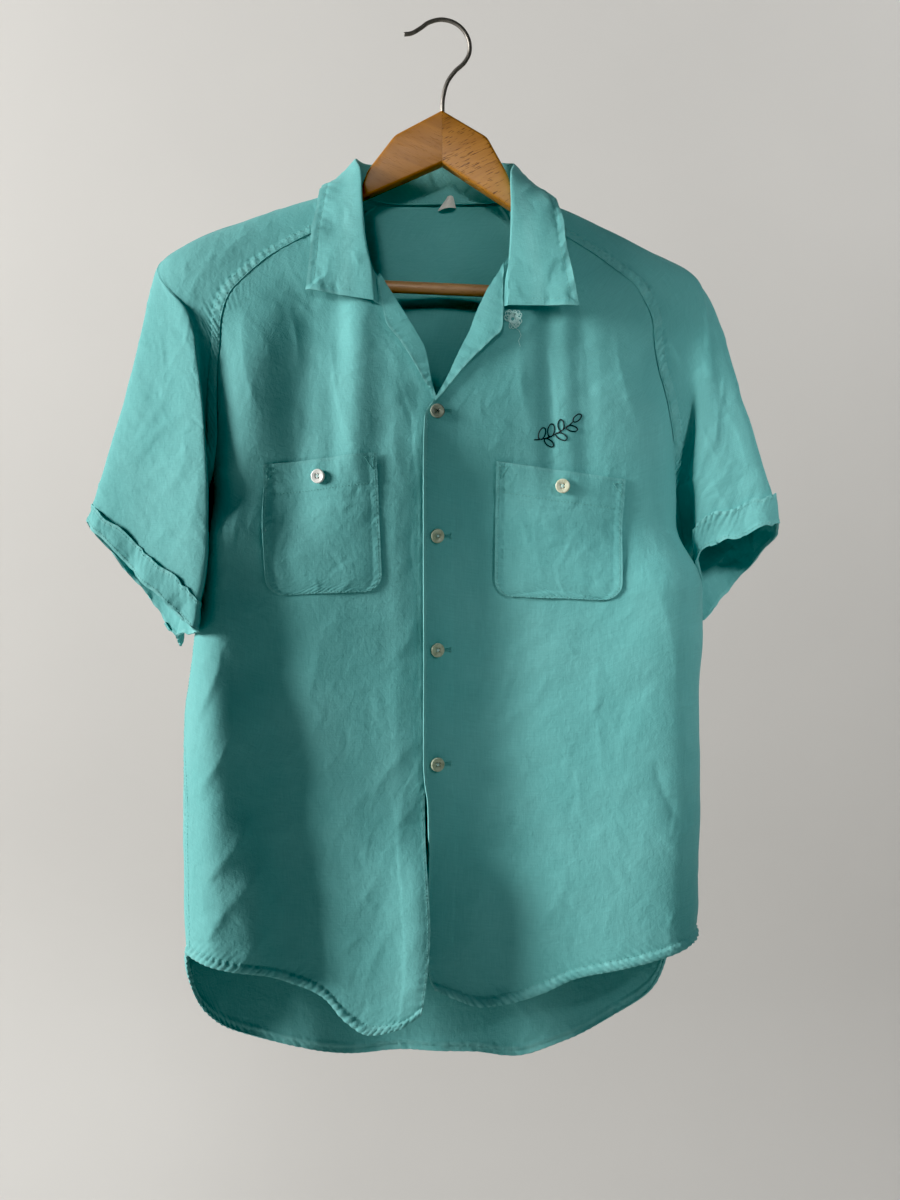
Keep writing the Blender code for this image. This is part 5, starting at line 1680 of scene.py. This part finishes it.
# %% [markdown]
# Below the left collar point there is a worked eyelet, whose pale thread has frayed into a
# tuft of loops with one loose end.

# %% Frayed eyelet
EYELET = (57.0, 254.5)
EYELET_RIM = (1.6, 4.6)
FRAYED_LOOPS = 26
fray = bmesh.new()
dice = np.random.default_rng(77)
for turn in np.linspace(0.0, 2.0 * math.pi, 30)[:-1]:
    way = np.array((math.cos(turn), math.sin(turn)))
    spokes = [(EYELET[0] + reach * way[0], EYELET[1] + reach * way[1]) for reach in EYELET_RIM]
    sew_line(fray, "front_left_cloth", spokes, pitch=1.1, length=1.9, width=0.8, rise=0.25)
base, face_way = on_cloth("front_left_cloth", *EYELET)
for _ in range(FRAYED_LOOPS):
    turn = dice.uniform(0.0, 2.0 * math.pi)
    spread = dice.uniform(0.3, 0.9)
    reach = dice.uniform(3.5, 7.5)
    share = np.linspace(0.0, 1.0, 9)
    bent = turn + spread * (share - 0.5) * 2.0
    apart = 2.6 + 0.75 * reach * np.sin(share * math.pi)
    path = np.stack((base[0] + apart * np.cos(bent),
                     base[1] - 0.6 - 1.8 * np.sin(share * math.pi) * dice.uniform(0.3, 1.0),
                     base[2] + apart * np.sin(bent)), axis=-1)
    stitched(fray, path, np.tile(face_way, (9, 1)), pitch=0.85, length=1.5, width=0.6, rise=0.0)
TAIL = ((57.5, 259.0), (59.0, 262.0), (62.0, 264.0), (63.5, 268.0), (61.5, 272.0), (63.0, 277.0))
sew_line(fray, "front_left_cloth", TAIL, pitch=0.9, length=1.5, width=0.45, rise=0.3)
finish_stitches(fray, "frayed_eyelet", pale_thread)

# %% [markdown]
# Shell is cloudy, and each button comes from another place of it. A noise drives a ramp
# between two greens, greys or creams, under a thin coat for the soft gloss.

# %% Button shell


def button_finish(name, dark, light):
    """Shell: cloudy bands under a soft gloss."""
    material, tree, shader = bare_finish(name, Roughness=0.28, Coat_Weight=0.35, Coat_Roughness=0.15)
    cloud = noise(tree, node(tree, "TexCoord").outputs["Object"], 170.0, 4.0, distortion=1.2)
    ramp = node(tree, "ValToRGB", ((0, cloud),))
    for stop, place, colour in zip(ramp.color_ramp.elements, (0.3, 0.7), (dark, light)):
        stop.position = place
        stop.color = colour + (1.0,)
    tree.links.new(ramp.outputs[0], shader.inputs["Base Color"])
    tree.links.new(relief_of(tree, cloud, 0.15, 0.0003), shader.inputs["Normal"])
    return material


green_shell = button_finish("green_shell", (0.27, 0.33, 0.22), (0.50, 0.56, 0.42))
grey_shell = button_finish("grey_shell", (0.16, 0.19, 0.14), (0.32, 0.36, 0.29))
white_shell = button_finish("white_shell", (0.62, 0.64, 0.60), (0.86, 0.87, 0.84))
cream_shell = button_finish("cream_shell", (0.50, 0.52, 0.36), (0.72, 0.74, 0.58))
print("shells:", green_shell.name, grey_shell.name, white_shell.name, cream_shell.name)

# %% [markdown]
# Shirt buttons are turned from shell: a raised rim, a shallow dish and four drilled holes,
# through which crossed threads hold them. The holes are cut with a Boolean, because a hole
# has to be seen through at this distance.

# %% Buttons
CLOTH_WALL = 1.2
BUTTON_RADIUS = 5.7
BUTTON_THICKNESS = 2.5
HOLE_RADIUS = 0.62
BUTTON_STAND = CLOTH_WALL / 2.0 + 0.6 + 1.3
FRONT_BUTTONS = ((329.0, 0.0), (426.5, 0.0), (517.0, 0.1), (608.5, 0.7))
POCKET_BUTTONS = {RIGHT: (-96.5, 379.5), LEFT: (95.5, 387.5)}
HOLE_SPOTS = ((1.1, 1.1), (-1.1, 1.1), (-1.1, -1.1), (1.1, -1.1))


def button_frame(side, x, drop, lift):
    """Where a button sits and the way it faces."""
    reach = 6.0
    x_around = np.array((x, x - reach, x + reach, x, x))
    drop_around = np.array((drop, drop, drop, drop - reach, drop + reach))
    middle, west, east, above, below = front_over(side, x_around, drop_around, lift)
    way = Vector(np.cross(above - below, west - east)).to_track_quat("Z", "Y").to_matrix().to_4x4()
    return Matrix.Translation(Vector(middle) * MM) @ way


def make_button(node_name, where, material, thread):
    mesh = bmesh.new()
    bmesh.ops.create_cone(mesh, cap_ends=True, segments=48, radius1=BUTTON_RADIUS * MM,
                          radius2=BUTTON_RADIUS * MM, depth=BUTTON_THICKNESS * MM)
    top = max(mesh.faces, key=lambda face: face.calc_center_median().z)
    bottom = min(mesh.faces, key=lambda face: face.calc_center_median().z)
    rims = list(set(top.edges) | set(bottom.edges))
    bmesh.ops.inset_region(mesh, faces=[top], thickness=1.2 * MM)
    bmesh.ops.inset_region(mesh, faces=[top], thickness=0.9 * MM)
    bmesh.ops.translate(mesh, verts=top.verts, vec=(0.0, 0.0, -0.45 * MM))
    bmesh.ops.bevel(mesh, geom=rims, offset=0.8 * MM, segments=4, profile=0.5, affect="EDGES", material=-1)
    drill = bmesh.new()
    for x, y in HOLE_SPOTS:
        bmesh.ops.create_cone(drill, cap_ends=True, segments=16, radius1=HOLE_RADIUS * MM,
                              radius2=HOLE_RADIUS * MM, depth=9.0 * MM,
                              matrix=Matrix.Translation((x * MM, y * MM, 0.0)))
    piece = link_mesh(mesh, node_name + "_shell", material)
    cutter = link_mesh(drill, "drill", smooth=False)
    cut = piece.modifiers.new("holes", "BOOLEAN")
    cut.operation = "DIFFERENCE"
    cut.object = cutter
    bpy.context.view_layer.objects.active = piece
    bpy.ops.object.modifier_apply(modifier="holes")
    bpy.data.objects.remove(cutter, do_unlink=True)
    piece.data.transform(where)
    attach(piece, "root")
    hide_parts(node_name)
    cross = bmesh.new()
    for (ax, ay), (bx, by) in ((HOLE_SPOTS[0], HOLE_SPOTS[2]), (HOLE_SPOTS[1], HOLE_SPOTS[3])):
        turn = math.atan2(by - ay, bx - ax)
        for shift in (-0.22, 0.22):
            beside = (-math.sin(turn) * shift * MM, math.cos(turn) * shift * MM, 0.55 * MM)
            strand = (where @ Matrix.Translation(beside) @ Matrix.Rotation(turn, 4, "Z")
                      @ Matrix.Diagonal((1.75 * MM, 0.24 * MM, 0.42 * MM, 1.0)))
            bmesh.ops.create_icosphere(cross, subdivisions=2, radius=1.0, matrix=strand)
    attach(link_mesh(cross, node_name + "_thread", thread), "root")


for index, (drop, room) in enumerate(FRONT_BUTTONS):
    where = button_frame(LEFT, FRONT_BUTTON_X, drop, BUTTON_STAND + room)
    shell, thread = (green_shell, pale_thread) if index else (grey_shell, dark_thread)
    make_button(f"front_button_{index + 1}", where, shell, thread)
for side, name in SIDES:
    where = button_frame(side, *POCKET_BUTTONS[side], BUTTON_STAND + pocket_lift(side, 0.5, 0.0))
    make_button("pocket_button_" + name, where, white_shell if side == RIGHT else cream_shell, pale_thread)
print("buttons:", len(FRONT_BUTTONS) + len(POCKET_BUTTONS), "each", 2 * BUTTON_RADIUS, "mm across")

# %% [markdown]
# The hanger is two beech arms that meet in the middle, rounded by a router. Each starts as
# one outline face, is extruded to its thickness and has its long edges bevelled.

# %% Hanger arms
HANGER_THICKNESS = 14.0
ARM_OUTLINES = {
    RIGHT: {
        "top": ((0.9, 75), (-38, 95.5), (-60, 124), (-67, 142), (-100, 151.5), (-150, 167.5), (-182, 180.5),
                (-205, 192.5)),
        "tip": ((-221, 205), (-223, 217), (-214, 224), (-196, 221)),
        "bottom": ((-196, 205), (-182, 199), (-150, 186), (-100, 166), (-64, 146.5), (0.9, 118.5)),
    },
    LEFT: {
        "top": ((0.9, 75), (38, 97), (54, 126), (60, 142), (84, 153), (113, 168), (147, 186), (180, 203)),
        "tip": ((205, 221), (207, 233), (197, 240), (181, 238)),
        "bottom": ((181, 221), (166, 215), (142, 203), (100, 180), (57, 155), (0.9, 118.5)),
    },
}
JOINT_GAP = 0.06


def round_outline(outline, side, corner=3.0):
    """The table's straight runs with each corner a short curve; the centre joint stays straight."""
    table = np.array(outline["top"] + outline["tip"] + outline["bottom"], dtype=float)
    points = [tuple(table[0])]
    for before, here, after in zip(table, table[1:], table[2:]):
        back = (before - here) / np.linalg.norm(before - here)
        ahead = (after - here) / np.linalg.norm(after - here)
        cut = min(corner, 0.4 * np.linalg.norm(before - here), 0.4 * np.linalg.norm(after - here))
        for share in (0.0, 0.33, 0.67, 1.0):
            bend = here + back * cut * (1.0 - share) ** 2 + ahead * cut * share**2
            points.append(tuple(bend))
    points.append(tuple(table[-1]))
    return [(x + side * JOINT_GAP / 2.0 if abs(x) < 1.0 else x, drop) for x, drop in points]


def carve_arm(side, name):
    mesh = bmesh.new()
    half = HANGER_THICKNESS / 2.0
    outline = round_outline(ARM_OUTLINES[side], side)
    face = mesh.faces.new([mesh.verts.new((x * MM, -half * MM, -drop * MM)) for x, drop in outline])
    extruded = bmesh.ops.extrude_face_region(mesh, geom=[face])
    moved = [item for item in extruded["geom"] if isinstance(item, bmesh.types.BMVert)]
    bmesh.ops.translate(mesh, verts=moved, vec=(0.0, HANGER_THICKNESS * MM, 0.0))
    bmesh.ops.recalc_face_normals(mesh, faces=mesh.faces)
    long_edges = [edge for edge in mesh.edges if abs(edge.verts[0].co.y - edge.verts[1].co.y) < 1e-6
                  and max(abs(vert.co.x) for vert in edge.verts) > 2.0 * MM]
    bmesh.ops.bevel(mesh, geom=long_edges, offset=2.2 * MM, segments=4, profile=0.5, affect="EDGES",
                    material=-1, clamp_overlap=True)
    for edge in mesh.edges:
        if len(edge.link_faces) == 2 and edge.calc_face_angle() > 0.9:
            edge.smooth = False
    return link_mesh(mesh, f"hanger_arm_{name}_wood")


arms = {side: carve_arm(side, name) for side, name in SIDES}
print("faces of the arms:", [len(arm.data.polygons) for arm in arms.values()])

# %% [markdown]
# Beech shows short dark flecks along the grain. The grain runs along each arm, so the pattern
# is turned to the arm's slope before it is stretched.

# %% Timber
timber, given, made = group_of("timber", (("Along", "Vector", None), ("Flecks", "Float", 1.0)),
                               (("Tone", "Float"), ("Fleck", "Float"), ("Height", "Float")))
long_grain = node(timber, "Mapping", (("Vector", given["Along"]), ("Scale", (7.0, 120.0, 120.0))))
bands = noise(timber, long_grain.outputs[0], 1.0, 5.0, 0.6, 0.6)
short_grain = node(timber, "Mapping", (("Vector", given["Along"]), ("Scale", (150.0, 1500.0, 1500.0))))
ticks = noise(timber, short_grain.outputs[0], 1.0, 1.0)
marks = node(timber, "MapRange", ((0, ticks), (1, 0.60), (2, 0.72))).outputs[0]
timber.links.new(bands, made["Tone"])
timber.links.new(sums(timber, "MULTIPLY", marks, given["Flecks"]), made["Fleck"])
timber.links.new(sums(timber, "SUBTRACT", bands, sums(timber, "MULTIPLY", marks, 0.6)), made["Height"])


def wood_finish(name, slope, dark, light, fleck, flecks):
    material, tree, shader = bare_finish(name, Roughness=0.42, Coat_Weight=0.12, Coat_Roughness=0.3)
    place = node(tree, "TexCoord").outputs["Object"]
    turned = node(tree, "Mapping", (("Vector", place), ("Rotation", (0.0, slope, 0.0))))
    grain = node(tree, "Group", node_tree=timber)
    tree.links.new(turned.outputs[0], grain.inputs["Along"])
    grain.inputs["Flecks"].default_value = flecks
    base = blend_colour(tree, grain.outputs["Tone"], dark, light)
    base = blend_colour(tree, grain.outputs["Fleck"], base, fleck)
    tree.links.new(base, shader.inputs["Base Color"])
    tree.links.new(relief_of(tree, grain.outputs["Height"], 0.35, 0.0004), shader.inputs["Normal"])
    return material


honey = wood_finish("honey_beech", math.radians(-24.0), (0.21, 0.078, 0.01), (0.49, 0.21, 0.03),
                    (0.17, 0.06, 0.01), 0.35)
flecked = wood_finish("flecked_beech", math.radians(26.0), (0.28, 0.104, 0.015),
                      (0.60, 0.275, 0.045), (0.10, 0.035, 0.012), 1.0)
for side, name in SIDES:
    arms[side].data.materials.append(honey if side == RIGHT else flecked)
    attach(arms[side], "root")
    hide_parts("hanger_arm_" + name)
print("wood finishes:", honey.name, "and", flecked.name)

# %% [markdown]
# The trouser bar is a turned dowel, let into the underside of each arm. A cone of one radius
# is a cylinder, and a bevel breaks its sharp ends.

# %% Trouser bar
BAR_DIAMETER = 10.0
BAR_ENDS = ((-195.7, 211.7), (180.7, 228.5))
(bar_x, bar_drop), (bar_end_x, bar_end_drop) = BAR_ENDS
bar_length = math.hypot(bar_end_x - bar_x, bar_end_drop - bar_drop)
bar_turn = math.radians(90.0) + math.atan2(bar_end_drop - bar_drop, bar_end_x - bar_x)
dowel = bmesh.new()
bmesh.ops.create_cone(dowel, cap_ends=True, segments=40, radius1=BAR_DIAMETER / 2.0 * MM,
                      radius2=BAR_DIAMETER / 2.0 * MM, depth=bar_length * MM)
ends = [edge for edge in dowel.edges if len(edge.link_faces) == 2 and edge.calc_face_angle() > 1.0]
bmesh.ops.bevel(dowel, geom=ends, offset=0.8 * MM, segments=3, profile=0.5, affect="EDGES", material=-1)
bmesh.ops.rotate(dowel, cent=(0.0, 0.0, 0.0), matrix=Matrix.Rotation(bar_turn, 3, "Y"), verts=dowel.verts)
bmesh.ops.translate(dowel, verts=dowel.verts, vec=(0.5 * (bar_x + bar_end_x) * MM, 0.0,
                                                   -0.5 * (bar_drop + bar_end_drop) * MM))
bar_wood = wood_finish("bar_beech", math.radians(-2.5), (0.34, 0.17, 0.07), (0.62, 0.36, 0.17),
                       (0.22, 0.10, 0.04), 0.5)
bar = link_mesh(dowel, "hanger_bar_wood", bar_wood)
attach(bar, "root")
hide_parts("hanger_bar")
print("the bar is", round(bar_length, 1), "mm long")

# %% [markdown]
# The hook is one round wire, bent cold. A ring of points is set at each step of its route and
# turned to face along it, and the rings are bridged.

# %% Hook
WIRE_DIAMETER = 3.6
HOOK_STEPS = 90
HOOK_SIDES = 20
HOOK_ROUTE = (
    (-30.5, 10.4), (-24, 9.4), (-17, 5.4), (-10, 0.6), (0, -1.8), (10, 0.4), (18, 6.4),
    (23, 15.5), (23.4, 25.5), (19, 34), (11.5, 41), (5.2, 50), (2.2, 60), (1.2, 68), (1.2, 74.6),
)
route = np.array([(x, 0.0, -drop) for x, drop in HOOK_ROUTE], dtype=float)
route = spline_weights(np.arange(HOOK_STEPS + 1) / HOOK_STEPS, len(route)) @ route
heading = np.gradient(route, axis=0)
heading = heading / np.linalg.norm(heading, axis=-1, keepdims=True)
wire = bmesh.new()
rings = []
for centre, way in zip(route, heading):
    turn = Vector(way).to_track_quat("Z", "Y").to_matrix().to_4x4()
    ring = bmesh.ops.create_circle(wire, cap_ends=False, segments=HOOK_SIDES, radius=WIRE_DIAMETER / 2.0 * MM,
                                   matrix=Matrix.Translation(Vector(centre) * MM) @ turn)["verts"]
    rings.append(list({edge for vert in ring for edge in vert.link_edges}))
for here, there in zip(rings, rings[1:]):
    bmesh.ops.bridge_loops(wire, edges=here + there)
bmesh.ops.holes_fill(wire, edges=[edge for edge in wire.edges if edge.is_boundary], sides=HOOK_SIDES)
bmesh.ops.recalc_face_normals(wire, faces=wire.faces)
for face in wire.faces:
    face.smooth = len(face.verts) == 4


def steel_finish(name):
    """Dull plated wire with fine tarnish."""
    material, tree, shader = bare_finish(name, Metallic=0.9)
    tarnish = noise(tree, node(tree, "TexCoord").outputs["Object"], 240.0, 5.0)
    base = blend_colour(tree, tarnish, (0.11, 0.10, 0.09), (0.33, 0.31, 0.28))
    tree.links.new(base, shader.inputs["Base Color"])
    rough = node(tree, "MapRange", ((0, tarnish), (1, 0.3), (2, 0.7), (3, 0.55), (4, 0.32)))
    tree.links.new(rough.outputs[0], shader.inputs["Roughness"])
    tree.links.new(relief_of(tree, tarnish, 0.2, 0.0002), shader.inputs["Normal"])
    return material


hook = link_mesh(wire, "hanger_hook_wire", steel_finish("dull_steel"), smooth=False)
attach(hook, "root")
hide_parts("hanger_hook")
print("the hook has", len(hook.data.polygons), "faces round", HOOK_STEPS + 1, "rings")

# %% [markdown]
# A small folded tape is caught in the back neck seam. It is left bare.

# %% Neck tape


def tape_place(across, down):
    """The tape's form: narrow at the seam, wider and bowed forward at its foot."""
    x = 5.5 - 8.2 * down + (4.5 + 10.6 * down) * across
    y = 22.0 - 4.5 * np.sin(across * math.pi) * (0.5 + 0.5 * down) - down
    z = -137.5 - 12.5 * down + 2.5 * across * down
    return np.stack([x, y, z], axis=-1)


def tape_relief(chart):
    lift = 0.25 * crumple(chart["run"], chart["fall"], 4.0, 301)
    edge = ease((1.2 - np.minimum(chart["run"], chart["to_end"])) / 0.8)
    return lift, edge, 0.0 * lift


tape = lay_cloth("neck_label_tape", tape_place, stops((1.0, 18)), stops((1.0, 18)), -1, tape_relief,
                 wall=0.5, thick=0.1)
tape.data.materials.append(cloth_finish("bare_tape", (0.80, 0.79, 0.75), (0.88, 0.87, 0.83),
                                        (0.95, 0.94, 0.91)))
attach(tape, "root")
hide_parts("neck_label")

# %% [markdown]
# Each sheet's cut size is worked out as it is laid, and printed there. The panels hang free, so
# their cut is the run of their threads: the widest and the longest, with the true area beside them.

print("sheets declared:", len(CLOTH_PIECES) + 1)
